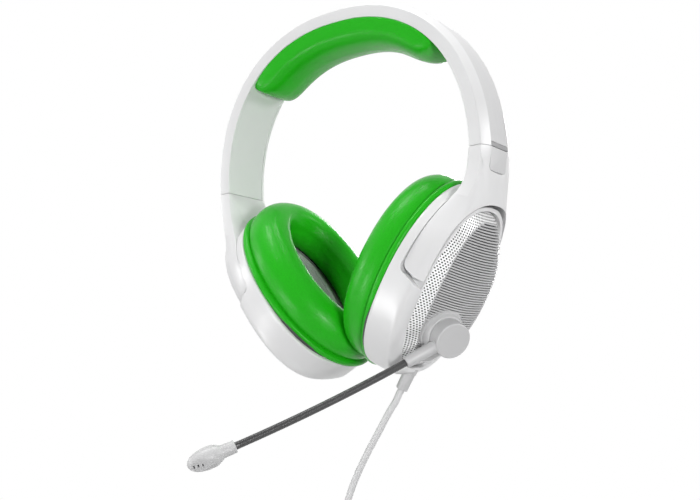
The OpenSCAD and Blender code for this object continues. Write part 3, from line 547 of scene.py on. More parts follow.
def perforated(name, colour, dark, pitch, hole):
    """Sheet with staggered round holes and a narrow rolled edge round each one."""
    f = Finish(name)
    _, back, up = f.cup_parts()
    rows = 2 * pitch * 0.93

    def lattice(shift):
        y = ((back / (pitch / 1000) + shift).fraction() - 0.5) * pitch
        h = ((up / (rows / 1000) + shift).fraction() - 0.5) * rows
        return (y * y + h * h) ** 0.5

    distance = lattice(0.0).least(lattice(0.5))
    open_part = 1 - distance.ramp(hole * 0.42, hole * 0.58)
    worn = f.noise(f.place(), 700, 3)
    f.feed("Metallic", (1 - open_part) * 0.2)
    return f.surface(f.blend(open_part, f.shades(worn, colour, 0.93, 1.03), dark),
                     0.34 + open_part * 0.5 + worn * 0.08, distance.ramp(hole * 0.3, hole * 0.7), 0.2)


def one_noise(name, colour, grain, shades, roughness, depth, fine=None, **constants):
    """A finish whose colour, roughness and height all follow one noise. The height may have a finer one."""
    f = Finish(name, **constants)
    here = f.place()
    noise = f.noise(here, *grain)
    return f.surface(f.shades(noise, colour, *shades), roughness[0] + noise * roughness[1],
                     f.noise(here, *fine) if fine else noise, depth)


def strip_plastic(name, colour):
    """Matt strip with a fine drawn line along its length."""
    return one_noise(name, colour, (900, 2, 0.5, (0.08, 1.0, 0.08)), (0.95, 1.03), (0.44, 0.1), 0.01,
                     Specular_IOR_Level=0.45)


def brushed(name, colour, roughness=0.3):
    return one_noise(name, colour, (1800, 3, 0.7, (1.0, 1.0, 0.05)), (0.88, 1.05), (roughness, 0.14), 0.006,
                     Metallic=1.0)


def rubber(name, colour, roughness):
    return one_noise(name, colour, (240, 4, 0.6), (0.96, 1.03), (roughness, 0.12), 0.01, (3000, 2),
                     Specular_IOR_Level=0.4)


def felt(name, colour):
    return one_noise(name, colour, (1200, 5, 0.75), (0.7, 1.25), (0.9, 0.08), 0.12,
                     Sheen_Weight=0.15, Specular_IOR_Level=0.15)


def woven(name, dark, light, pitch):
    """Plain weave of round threads over foam, in the cup's own plane."""
    f = Finish(name, Sheen_Weight=0.25, Sheen_Roughness=0.5, Specular_IOR_Level=0.2)
    _, back, up = f.cup_parts()
    turn = 2 * math.pi / (pitch / 1000)
    cross = ((back * turn).wave() * (up * turn).wave()) * 0.5 + 0.5
    thread = abs((back * (turn / 2)).wave()) * cross + abs((up * (turn / 2)).wave()) * (1 - cross)
    fluff = f.noise(f.place(), 1500, 3)
    return f.surface(f.blend(thread * 0.8 + fluff * 0.2, dark, light), 0.82 + fluff * 0.12,
                     thread + fluff * 0.3, 0.1)


def circuit(name, colour):
    """Solder mask with bright pads on a square grid."""
    f = Finish(name)
    _, back, up = f.cup_parts()
    pitch = 0.0026
    y, h = (back / pitch).fraction() - 0.5, (up / pitch).fraction() - 0.5
    pad = 1 - (y * y + h * h).ramp(0.02, 0.035)
    f.feed("Metallic", pad * 0.9)
    return f.surface(f.blend(pad, colour, (0.75, 0.62, 0.35)), 0.42 - pad * 0.12, pad, 0.04)


def film(name, colour):
    """Thin moulded film with fine ribs round the driver's middle."""
    f = Finish(name)
    _, back, up = f.cup_parts()
    pitch = 0.0016
    rib = (((back * back + up * up) ** 0.5) * (2 * math.pi / pitch)).wave() * 0.5 + 0.5
    return f.surface(f.shades(rib, colour, 0.85, 1.05), 0.3 + rib * 0.1, rib, 0.12)


def plug_metal(name, colour, tip_z):
    """Plated contacts with dark rings between them, by height over the tip."""
    f = Finish(name)
    height = f.parts(f.place())[2] * 1000.0 - tip_z
    low, middle, high = (1 - abs(height - ring).ramp(0.28, 0.36) for ring in (4.6, 7.4, 10.2))
    ring = low.most(middle).most(high)
    drawn = f.noise(f.place(), 1500, 3, stretch=(1.0, 1.0, 0.1))
    f.feed("Metallic", 1 - ring)
    return f.surface(f.blend(ring, f.shades(drawn, colour, 0.92, 1.05), (0.02, 0.02, 0.02)),
                     0.2 + ring * 0.25 + drawn * 0.08, drawn - ring, 0.02)


# ---------- what a user would change ----------

def colour_property(name, value, description):
    return bpy.props.FloatVectorProperty(name=name, description=description, subtype="COLOR", size=3, min=0, max=1,
                                         default=value)


def number_property(name, value, low, high, description, kind=bpy.props.FloatProperty):
    return kind(name=name, description=description, default=value, min=low, max=high)


class HeadsetColours(bpy.types.PropertyGroup):
    shell: colour_property("Shells", (0.8, 0.8, 0.805), "Colour of the band, yokes and cups")
    leather: colour_property("Cushions", (0.018, 0.49, 0.01), "Colour of the leatherette")
    strip: colour_property("Strip", (0.68, 0.68, 0.685), "Colour of the strip along the crown")
    bar: colour_property("Bars", (0.36, 0.36, 0.365), "Colour of the bars at the ends of the strip")
    grille: colour_property("Slats", (0.56, 0.56, 0.565), "Colour of the slatted grille")
    border: colour_property("Mesh", (0.93, 0.93, 0.93), "Colour of the perforated border")
    microphone: colour_property("Microphone", (0.6, 0.6, 0.605), "Colour of the boom's mouldings")
    neck: colour_property("Gooseneck", (0.045, 0.045, 0.046), "Colour of the gooseneck")
    lead: colour_property("Lead", (0.78, 0.78, 0.785), "Colour of the lead")
    cloth: colour_property("Ear cloth", (0.4, 0.4, 0.41), "Colour of the cloth inside the cushions")


class HeadsetDetails(bpy.types.PropertyGroup):
    hole_pitch: number_property("Hole pitch", 1.25, 1, 4, "Distance between holes of the border, in mm")
    hole: number_property("Hole", 0.68, 0.4, 2, "Diameter of a hole of the border, in mm")
    slats: number_property("Slats", 60, 20, 80, "Number of slots in the middle of a grille",
                           bpy.props.IntProperty)
    slot: number_property("Slot", 0.38, 0.2, 0.8, "Share of the slat pitch that is open")
    weave: number_property("Weave", 0.9, 0.4, 2, "Pitch of the ear cloth's threads, in mm")
    leather_grain: number_property("Grain", 0.03, 0, 0.2, "Depth of the leatherette's grain, in mm")
    leather_crease: number_property("Creases", 0.12, 0, 1, "Depth of the soft creases, in mm")
    neck_rib: number_property("Neck rib", 0.85, 0.6, 3, "Pitch of the gooseneck's ribs, in mm")


def details():
    return bpy.context.scene.headset_details


MADE = {}


def finish_named(name):
    """The material of one of the record's slots, or of the dust cloth, made once."""
    if name not in MADE:
        c, d = bpy.context.scene.headset_colours, details()
        maker, *values = {
            "shell_white": (moulded, c.shell, 0.3, 0.012, 0.12),
            "grille_border": (perforated, c.border, (0.02, 0.02, 0.021), d.hole_pitch, d.hole),
            "spring_steel": (brushed, (0.3, 0.31, 0.33)),
            "green_leatherette": (leatherette, c.leather, d.leather_grain, d.leather_crease),
            "strip_grey": (strip_plastic, c.strip),
            "bar_grey": (strip_plastic, c.bar),
            "inner_dark": (moulded, (0.03, 0.03, 0.031), 0.5, 0.02),
            "grille_grey": (moulded, c.grille, 0.36, 0.01),
            "magnet_plate": (brushed, (0.62, 0.62, 0.64), 0.16),
            "diaphragm_film": (film, (0.55, 0.5, 0.36)),
            "ear_cloth": (woven, tint(c.cloth, 0.45), tint(c.cloth, 1.25), d.weave),
            "board_green": (circuit, (0.01, 0.12, 0.04)),
            "mic_grey": (moulded, c.microphone, 0.38, 0.01),
            "neck_black": (rubber, c.neck, 0.24),
            "capsule_black": (felt, (0.02, 0.02, 0.02)),
            "lead_grey": (rubber, c.lead, 0.36),
            "tie_black": (felt, (0.03, 0.03, 0.03)),
            "plug_gold": (plug_metal, (0.83, 0.62, 0.28), 1000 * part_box("plug_pin")[0].z),
            "dust_cloth": (felt, (0.1, 0.1, 0.102)),
        }[name]
        MADE[name] = maker(name, *values)
    return MADE[name]


# ---------- pieces ----------

def finish_piece(piece, body, slot, *stands_for, finish=None):
    """Gives a piece its material, body and slot, and hides the solids that it stands for."""
    piece.data.materials.clear()
    piece.data.materials.append(finish_named(finish or slot))
    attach(piece, body)
    if stands_for:
        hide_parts(*stands_for)
    return piece


def make_piece(name, shape, body, slot, *stands_for, place=Matrix(), sharp=40, finish=None):
    """Builds a piece from a shape and finishes it."""
    return finish_piece(build_mesh(name, placed(shape, place), sharp), body, slot, *stands_for, finish=finish)


def dress_node(node, slot):
    """Gives a solid that stays in view its material."""
    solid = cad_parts[node]
    for place in solid.material_slots:
        place.material = finish_named(slot)
    return solid


# ---------- operators ----------

class HeadsetPiece:
    """What every operator of this file shares."""
    bl_options = {"REGISTER", "UNDO"}

    def execute(self, context):
        self.make()
        return {"FINISHED"}


class HEADSET_OT_stage(HeadsetPiece, bpy.types.Operator):
    """Makes the camera, the soft lights and the plain floor"""
    bl_idname = "headset.stage"
    bl_label = "Stage"

    azimuth, elevation, roll = 33.871, -8.938, -2.312
    distance, focal_px, picture_w = 544.558, 1063.425, 700
    target = (-5.889, -0.036, -102.942)
    room_below = 32          # for the lead's end, when the cups slide out
    aim, lamp_size = (0, 0, -90), 140
    floor_radius, floor_thick = 1500, 6
    floor_tone, floor_glow = (0.16, 0.9), (0, 0.78)     # for the light's bounces, and for the camera
    room_light = 0.18

    lamps = (("top_light", (60, 40, 520), 1.7), ("upper_front_light", (-150, -300, 560), 1.9),
             ("low_right_light", (520, -420, -220), 2.2), ("low_left_light", (-300, -560, -250), 1.2),
             ("left_light", (-560, -300, 40), 0.7), ("right_light", (560, 200, 60), 1.0),
             ("back_light", (-160, 560, 120), 1.0))

    def make(self):
        self.camera()
        self.floor()
        for lamp in self.lamps:
            self.light(*lamp)
        self.surroundings()

    def camera(self):
        az, el, roll = rad(self.azimuth), rad(self.elevation), rad(self.roll)
        back = Vector((math.sin(az) * math.cos(el), -math.cos(az) * math.cos(el), math.sin(el)))
        right = Vector((math.cos(az), math.sin(az), 0))
        up = back.cross(right)
        across = right * math.cos(roll) + up * math.sin(roll)
        upward = up * math.cos(roll) - right * math.sin(roll)
        data = bpy.data.cameras.new("camera")
        data.sensor_width, data.sensor_fit = 36, "HORIZONTAL"
        data.lens = self.focal_px * data.sensor_width / self.picture_w
        data.clip_start, data.clip_end = 0.01, 20
        turn = Matrix((across, upward, back)).transposed().to_4x4()
        place = (Vector(self.target) + back * self.distance) / 1000
        camera = linked("camera", data)
        camera.matrix_world = Matrix.Translation(place) @ turn
        bpy.context.scene.camera = camera
        bpy.context.scene.view_settings.view_transform = "Standard"

    def light(self, name, place, power):
        """A square soft lamp, aimed at the middle of the headset."""
        data = bpy.data.lights.new(name, "AREA")
        data.shape, data.size, data.energy = "SQUARE", self.lamp_size / 1000, power
        here = Vector(place) / 1000
        turn = (Vector(self.aim) / 1000 - here).to_track_quat("-Z", "Y").to_matrix().to_4x4()
        linked(name, data).matrix_world = Matrix.Translation(here) @ turn

    def floor(self):
        """A pale round floor that shows white to the camera away from the shadow."""
        low = CAD_BOX[0].z * 1000 - self.room_below
        edge = [(self.floor_radius * math.cos(t), self.floor_radius * math.sin(t)) for t in circle(96)]
        floor = build_mesh("floor", skin([[(x, y, z) for x, y in edge] for z in (low - self.floor_thick, low)]))
        f = Finish("floor_white", Roughness=0.9, Emission_Strength=1.0)
        seen = f.seen_directly()
        for socket, shares in (("Base Color", self.floor_tone), ("Emission Color", self.floor_glow)):
            f.feed(socket, f.blend(seen, *[(share,) * 3 for share in shares]))
        floor.data.materials.append(f.material)

    def surroundings(self):
        """An even white room, which the camera sees brighter than it lights the headset."""
        world = bpy.context.scene.world = bpy.data.worlds.new("studio")
        room = Nodes(world, "ShaderNodeBackground", "ShaderNodeOutputWorld")
        room.feed("Color", (1, 1, 1))
        room.feed("Strength", room.add("ShaderNodeMapRange", values={
            "Value": room.seen_directly(), "To Min": self.room_light, "To Max": 1.0}))


class HEADSET_OT_lead(HeadsetPiece, bpy.types.Operator):
    """Lays the lead from the left cup into its stored coil, with its strain relief, tie and plug"""
    bl_idname = "headset.lead"
    bl_label = "Lead"

    relief_mid, relief_out = (12.6, 2.5, 0.6 - NECK_RH), 1.2
    coil_mid = (8.0, 7.0, -201.0)
    pitch = LEAD_D + 0.5
    layer_loops = COIL_LOOPS / 2

    def make(self):
        route, exit_point = self.route()
        line = bpy.data.curves.new("lead", "CURVE")
        line.dimensions, line.bevel_depth, line.bevel_resolution = "3D", LEAD_D / 2000, 5
        line.use_fill_caps = True
        spline_made = line.splines.new("POLY")
        spline_made.points.add(len(route) - 1)
        for point, place in zip(spline_made.points, route):
            point.co = (*(place / 1000), 1)
        lead = finish_piece(linked("lead", line), "cup_left", "lead_grey", "lead_cord", "lead_coil")
        ends = [self.relief(), dress_node("coil_tie", "tie_black"), *self.plug()]

    def coil_at(self, t):
        """The lead's middle line at angle t of the stored coil, in degrees."""
        middle = self.coil_mid[0], self.coil_mid[1], self.coil_mid[2] - CROWN_TO_BAND_ENDS
        reach = 6 * LEAD_D + self.layer_loops / 2 * self.pitch
        r = reach - self.pitch * (self.layer_loops - abs(t / 360 - self.layer_loops))
        layer = self.pitch * (smooth((t - self.layer_loops * 360 + 90) / 180) - 0.5)
        return np.array((middle[0] - r * math.cos(rad(t)), middle[1] + layer, middle[2] - r * math.sin(rad(t))))

    def route(self):
        ex = np.array(self.relief_mid) - (0, 0, self.relief_out + RELIEF_LEN)
        start = cup_point(*ex)
        way = np.array((-math.sin(rad(CUP_LEAN)), 0, -math.cos(rad(CUP_LEAN))))
        first = self.coil_at(0) + (0, 0, LEAD_D)
        down = [(10, 5, -121), (3, 5, -131), (-4, 5, -141), (-10, 5, -150.5), (-15, 5, -160), (-18.7, 5, -170),
                (-20.6, 5, -179), (first[0], 5, -186), (first[0], 5, -191)]
        free = [start, start + way * 4, start + way * 8]
        free += [np.array(p) - (0, 0, CROWN_TO_BAND_ENDS) for p in down]
        free = spline(free + [first], 5)
        turns = [self.coil_at(i * 10) for i in range(COIL_LOOPS * 36 + 1)]
        last = self.coil_at(COIL_LOOPS * 360) - (0, 0, COIL_TAIL)
        tail = spline([turns[-1], turns[-1] - (0, 0, LEAD_D), last], 3)[1:]
        self.end = last
        return np.array([*free, *turns[1:], *tail]), start

    def relief(self):
        r = LEAD_D / 2
        sleeve = rounded([(r + 1.4, 0.2, 0), (r + 1.25, RELIEF_LEN - 0.6, 0), (r + 1.2, RELIEF_LEN, 0.4),
                          (r + 0.15, RELIEF_LEN, 0)], closed=False, steps=5)
        profile = [(ON_AXIS, -3), (3.5, -3), (3.5, 0), *sleeve, (ON_AXIS, RELIEF_LEN)]
        place = in_cup() @ moved(*self.relief_mid) @ moved(0, 0, -self.relief_out) @ turned(180, "X")
        return make_piece("relief_sleeve", lathe(profile), "cup_left", "mic_grey", "strain_relief", place=place)

    def plug(self):
        r = LEAD_D / 2
        place = moved(*self.end) @ turned(180, "X")
        grooves = [p for z in (2.2, 4.2, 6.2, 8.2) for p in
                   ((r + 0.75 + z * 0.05, z - 0.45), (r + 0.35 + z * 0.05, z), (r + 0.75 + z * 0.05, z + 0.45))]
        grip = rounded([(r + 1.1, 9.2, 0), (BOOT_R - 0.6, 10.6, 0.8), (BOOT_R, 12.5, 0.8), (BOOT_R, BOOT_LEN, 0.9),
                        (2.2, BOOT_LEN, 0)], closed=False, steps=5)
        profile = [(ON_AXIS, 0), (r + 0.6, 0), *grooves, *grip, (ON_AXIS, BOOT_LEN)]
        boot = make_piece("plug_grip", lathe(profile, 48), "cup_left", "lead_grey", "plug_boot",
                          place=place, sharp=60)
        return boot, dress_node("plug_pin", "plug_gold")


class HEADSET_OT_band(HeadsetPiece, bpy.types.Operator):
    """Builds the band's outer shell, its lining and the strip along its crown"""
    bl_idname = "headset.band"
    bl_label = "Band"

    turns = np.linspace(0, 180, 121)

    def make(self):
        edge, crown, side = BAND_W / 2, CROWN_W / 2, BAND_W / 2 - BAND_WALL
        half = [(0, edge, 0.5), (BAND_T, edge, 0.9), (CROWN_R, crown + 0.4, 0.35), (CROWN_R, crown, 0.12),
                (CROWN_R - STRIP_RECESS, crown, 0)]
        lining = [(0, side, 0.3), (BAND_T - 2.4, side, 0), (CROWN_R - 2.4, crown - 1, 0)]
        outside = [*[(r, -y, c) for r, y, c in half], *reversed(half)]
        inside = [*lining, *[(r, -y, c) for r, y, c in reversed(lining)]]
        make_piece("band_shell_moulding", swept(rounded(outside + inside, steps=4), self.turns), "band",
                   "shell_white", "band_shell", sharp=48)
        make_piece("band_lining", swept(self.bar(0.2, 1.9, side - 0.1, 0.4), self.turns), "band",
                   "shell_white", "inner_cover", sharp=48)
        seat = CROWN_R - STRIP_RECESS + 0.15
        strip = self.bar(seat, seat + STRIP_T, crown - 0.1, 0.18)
        make_piece("crown_strip_moulding", swept(strip, np.linspace(BAR_TURN + 0.1, 179.9 - BAR_TURN, 117)), "band",
                   "strip_grey", "crown_strip")
        for name, turns in (("left", (0, BAR_TURN)), ("right", (180 - BAR_TURN, 180))):
            bar = build_mesh("crown_bar_" + name, swept(strip, np.linspace(*turns, 4)))
            finish_piece(soften(bar, 0.12), "band", "bar_grey", "strip_bar_" + name)
        dress_node("spring_band", "spring_steel")
        for name in SIDES:
            dress_node("slider_guide_" + name, "inner_dark")

    def bar(self, low, high, width, radius):
        corners = [(low, -width), (high, -width), (high, width), (low, width)]
        return rounded([(r, y, radius) for r, y in corners])


class HEADSET_OT_head_cushion(HeadsetPiece, bpy.types.Operator):
    """Builds the cushion under the band"""
    bl_idname = "headset.head_cushion"
    bl_label = "Head cushion"

    half_section = [(0, 0), (0, 0.6), (0, 0.93), (-0.03, 0.985), (-0.12, 1), (-0.4, 0.99), (-0.6, 0.955),
                    (-0.73, 0.87), (-0.86, 0.69), (-0.95, 0.4), (-1, 0)]
    stations, gap = 84, -0.22

    def make(self):
        curve = spline(self.half_section, 3)
        rings = []
        for i in range(self.stations + 1):
            u = mix(0.004, 0.996, 0.5 - 0.5 * math.cos(math.pi * i / self.stations))
            fade = math.sqrt(1 - abs(2 * u - 1) ** 11)
            t = mix(PAD_END, 180 - PAD_END, u)
            depth = (PAD_DEPTH - self.gap) * mix(0.12, 1, fade)
            width = PAD_W / 2 * mix(0.72, 1, fade ** 0.7)
            section = [(q[0] * depth, q[1] * width) for q in curve]
            section += [(r, -y) for r, y in reversed(section[1:-1])]
            rings.append(band_ring([(r - self.gap, y) for r, y in section], t))
        pad = make_piece("head_cushion_cover", skin(rings), "band", "green_leatherette", "head_cushion", sharp=80)


class HEADSET_OT_yokes(HeadsetPiece, bpy.types.Operator):
    """Builds the forked yokes that hold the cups, and the strip let into their tops"""
    bl_idname = "headset.yokes"
    bl_label = "Yokes"

    arm_a = LEDGE_A + YOKE_GAP
    open_ry, open_rh = NECK_RY + YOKE_GAP, NECK_RH + YOKE_GAP + 0.4
    open_up = NECK_UP + 0.8
    crease_a, arm_top, bend_top, slant = 10.8, 38.0, 74, ARM_SLANT * 1.29
    stem_z = -0.3 - CROWN_TO_BAND_ENDS
    arm_steps, bend_steps, top_steps = 16, 24, 9
    pull, stem_len = 16, 20          # how far the bend follows the arm's edge, and the stem's side
    insert_len, insert_lean, insert_seat = 11.0, 9.0, 14.0
    # half width at the arm's end and at its top, half height, squareness, shift up
    edges = {"ledge": (open_ry + 1.2, CUP_RY - 0.9, CUP_RH - 0.4, 2.02, 0),
             "inner": (CUP_RY - 1.6, CUP_RY - 0.3, CUP_RH, 2.02, 0),
             "crease": (CUP_RY - 2.4, CUP_RY - 1.5, CUP_RH - 1.6, 2.1, 0.5)}

    def make(self):
        arms = [np.array(self.half(g)) for g in (-1, 1)]
        top = np.array([self.top(-1, 1.0)])
        rings = np.concatenate([arms[0], top, arms[1][::-1]])
        for name, side in SIDES.items():
            flip = mirrored(side)
            yoke = build_mesh("yoke_moulding_" + name, placed(skin(rings), flip))
            cut(yoke, placed(self.insert(0.12, 1.5), flip))
            soften(yoke, 0.55, angle=28, segments=3, sharp=60)
            finish_piece(yoke, "yoke_arm_" + name, "shell_white", "yoke_" + name)
            insert = build_mesh("yoke_strip_" + name, placed(self.insert(0, -0.15), flip))
            cut(insert, placed(self.above_stem(), flip))
            finish_piece(soften(insert, 0.12), "yoke_arm_" + name, "strip_grey", "yoke_insert_" + name)
            for node in ("slider_rail_", "pivot_pins_"):
                dress_node(node + name, "spring_steel")

    def at(self, g, a, ry, rh, n, up, t):
        y, h = oval(ry, rh, n, t)
        return cup_point(a, g * y, h + up)

    def open_edge(self, g, a, t):
        """A point of the yoke's edge round the cup's neck."""
        return self.at(g, a, self.open_ry, self.open_rh, NECK_N, self.open_up, t)

    def edge(self, kind, g, t, c=0):
        """A point of one of the yoke's other edges. The corner c moves it out along the cup."""
        narrow, wide, *outline = self.edges[kind]
        a = max(self.crease_a, self.arm_a + c + 0.6) if kind == "crease" else self.arm_a + c
        return self.at(g, a, mix(narrow, wide, smooth(t / self.arm_top)), *outline, t)

    def flow(self, g, kind, x, v):
        """From an edge of the arm up into the stem."""
        start, before = self.edge(kind, g, self.arm_top), self.edge(kind, g, self.arm_top - 2)
        on = start + unit(start - before) * self.pull
        below = np.array((x - 0.6, g * BAND_W / 2, self.stem_z - self.stem_len))
        end = np.array((x, g * BAND_W / 2, self.stem_z))
        return (1 - v) ** 3 * start + 3 * v * (1 - v) ** 2 * on + 3 * v * v * (1 - v) * below + v ** 3 * end

    def section(self, g, t, c, crease, inner, bulge=0.0, low=0.0):
        o = self.open_edge(g, NECK_A - 0.3 + 2.4 * smooth((t - low - 30) / 60), t - low)
        swell = np.array((-bulge, 0, bulge))
        outer = [mix(o, crease, s) + swell * min(1, 4 * s * (1 - s) * 1.1) for s in (0.2, 0.4, 0.6, 0.8)]
        return [o, *outer, crease, inner, self.edge("ledge", g, t, c), self.open_edge(g, self.arm_a + c, t),
                self.open_edge(g, NECK_A - 1.8, t - low)]

    def arm(self, g, t, c, low):
        """The end slants: its outer corners lie lower than its inner ones."""
        return self.section(g, t, c, self.edge("crease", g, t - 0.55 * low, c), self.edge("inner", g, t, c), low=low)

    def bend(self, g, v):
        return self.section(g, mix(self.arm_top, self.bend_top, v), 0, self.flow(g, "crease", ARCH_OUT_W, v),
                            self.flow(g, "inner", BAND_HALF_W, v))

    def top(self, g, k):
        flat = max(0.0, (3 * k - 1) / 2)
        y = g * (mix(BAND_W / 2, CROWN_W / 2 + 0.4, 3 * k) if k < 1 / 3 else (CROWN_W / 2 + 0.4) * (1 - flat))
        x = ARCH_OUT_W + CROWN_RISE * min(1.0, 3 * k)
        return self.section(g, mix(self.bend_top, 90, k), 0, np.array((x, y, self.stem_z)),
                            np.array((BAND_HALF_W, y, self.stem_z)), 0.8 * smooth(k))

    def turn_at(self, s):
        return math.degrees(math.asin(min(1.0, (ARM_END_H + s) / self.open_rh)))

    def half(self, g):
        """The rings of one arm, in front or at the back, from its end to the middle of the stem."""
        rings = []
        for s in (0, 0.25, 0.7, 1.3, 2.1, 3.0, 4.0):
            corner = ARM_CORNER - math.sqrt(max(0.0, 2 * ARM_CORNER * s - s * s))
            rings.append(self.arm(g, self.turn_at(s), corner, self.slant))
        start = self.turn_at(ARM_CORNER)
        for i in range(1, self.arm_steps + 1):
            share = i / self.arm_steps
            rings.append(self.arm(g, mix(start, self.arm_top, share), 0, self.slant * (1 - share)))
        rings += [self.bend(g, i / self.bend_steps) for i in range(1, self.bend_steps)]
        return rings + [self.top(g, i / self.top_steps) for i in range(self.top_steps)]

    def above_stem(self):
        """A block that pares the wedge level with the stem's top."""
        outline = ((60, -20), (100, -20), (100, 20), (60, 20))
        return skin([[(x, y, z) for x, y in outline] for z in (self.stem_z, self.stem_z + 20)])

    def insert(self, grow, out):
        """The wedge let into the top of a yoke, with rounded lower corners. It is thicker below."""
        w, r = CROWN_W / 2 - 0.4 + grow, 2 + grow
        low, high = -self.insert_len - grow, 7
        outline = [(-w, high), *arc(r - w, low + r, r, 180, 270, 6), *arc(w - r, low + r, r, 270, 360, 6), (w, high)]
        seat = math.tan(rad(self.insert_seat - self.insert_lean))
        flat = [[(z * seat, y, z) for y, z in outline], [(STRIP_T + out, y, z) for y, z in outline]]
        place = moved(ARCH_OUT_W + CROWN_RISE - STRIP_T, 0, self.stem_z) @ turned(self.insert_lean, "Y")
        return placed(skin(flat), place)


class HEADSET_OT_cups(HeadsetPiece, bpy.types.Operator):
    """Builds the cup housings"""
    bl_idname = "headset.cups"
    bl_label = "Cups"

    def make(self):
        for name, side in SIDES.items():
            place = in_cup(side)
            outside = skin([cup_ring(ring) for ring in spline(CUP_RINGS, 4)])
            housing = build_mesh("cup_moulding_" + name, placed(outside, place))
            neck = plate(NECK_RING, LEDGE_A - 1, NECK_A - 0.02, -0.3)
            rim_bore = plate(RIM_RING, RIM_A - 1, SHELF_A, -CUP_WALL - 0.4)
            neck_bore = plate(NECK_RING, NECK_A - 5, NECK_A + 1, -CUP_WALL)
            for tool, how in ((self.room(), "DIFFERENCE"), (neck, "UNION"), (self.hollow(), "DIFFERENCE"),
                              (rim_bore, "DIFFERENCE"), (neck_bore, "DIFFERENCE")):
                cut(housing, placed(tool, place), how)
            soften(housing, 0.38, angle=35, segments=3, sharp=55)
            finish_piece(housing, "cup_" + name, "shell_white", "cup_housing_" + name)

    def room(self):
        """Space above the arm ends of the yoke, with a rounded corner under the arms."""
        low, r = ARM_END_H - ARM_GAP, ARM_CORNER + 0.2
        corner = arc(LEDGE_A + r, low + r, r, 180, 270, 8)
        reach, above = 60, 90
        far = low - ARM_SLANT * (reach - LEDGE_A - r) / (NECK_A - LEDGE_A - r)
        outline = [(LEDGE_A, above), *corner, (reach, far), (reach, above)]
        return skin([[(a, y, h) for a, h in outline] for y in (-reach, reach)])

    def hollow(self):
        rings = [(SHELF_A + 3, CUP_RY - 4.6, CUP_RH - 4.6, 2, 0, 0),
                 (LEDGE_A + 2, CUP_RY - 5.4, CUP_RH - 5.8, 2.2, 0.4, 0),
                 (NECK_A - 1.9, NECK_RY, NECK_RH, NECK_N, NECK_UP, 0)]
        return skin([cup_ring(r, -CUP_WALL) for r in rings])


EDGE_A = NECK_A - 2.5
GRILLE_RY, GRILLE_RH = NECK_RY - CUP_WALL - 0.1, NECK_RH - CUP_WALL - 0.1
SLAT_RY, SLAT_RH = GRILLE_RY * 0.87, GRILLE_RH * 0.89
SLAT_BACK = GRILLE_RY - SLAT_RY - 1.4
DOME_POWER, DOME_HALVINGS = 2.9, 30


def dome_height(y, h):
    """How far out the domed grille lies at a point of the cup, found by halving."""
    low, high = np.full(np.shape(y), 1e-3), np.full(np.shape(y), 1.2)
    for _ in range(DOME_HALVINGS):
        u = (low + high) / 2
        inside = (np.abs(y - DOME_SKEW * (1 - u * u)) / (GRILLE_RY * u)) ** NECK_N + (
            np.abs(h - NECK_UP) / (GRILLE_RH * u)) ** NECK_N > 1
        low, high = np.where(inside, u, low), np.where(inside, high, u)
    return EDGE_A + GRILLE_RISE * (1 - np.minimum(1, (low + high) / 2) ** DOME_POWER)


def slat_edge(grow, t):
    """A point of the slatted part's outline."""
    y, h = oval(SLAT_RY + grow, SLAT_RH + grow, NECK_N, t)
    return y + SLAT_BACK, h + NECK_UP


def on_dome(points, sink):
    return [(dome_height(y, h) - sink, y, h) for y, h in points]


def from_mic(a, y, h):
    """Distance of a point of the cup from the microphone's pivot axis."""
    way = np.array((math.cos(rad(MIC_LEAN)), -math.sin(rad(MIC_LEAN)), 0))
    arm = np.array((a, y, h)) - MIC_MID
    return float(np.linalg.norm(arm - way * (arm @ way)))


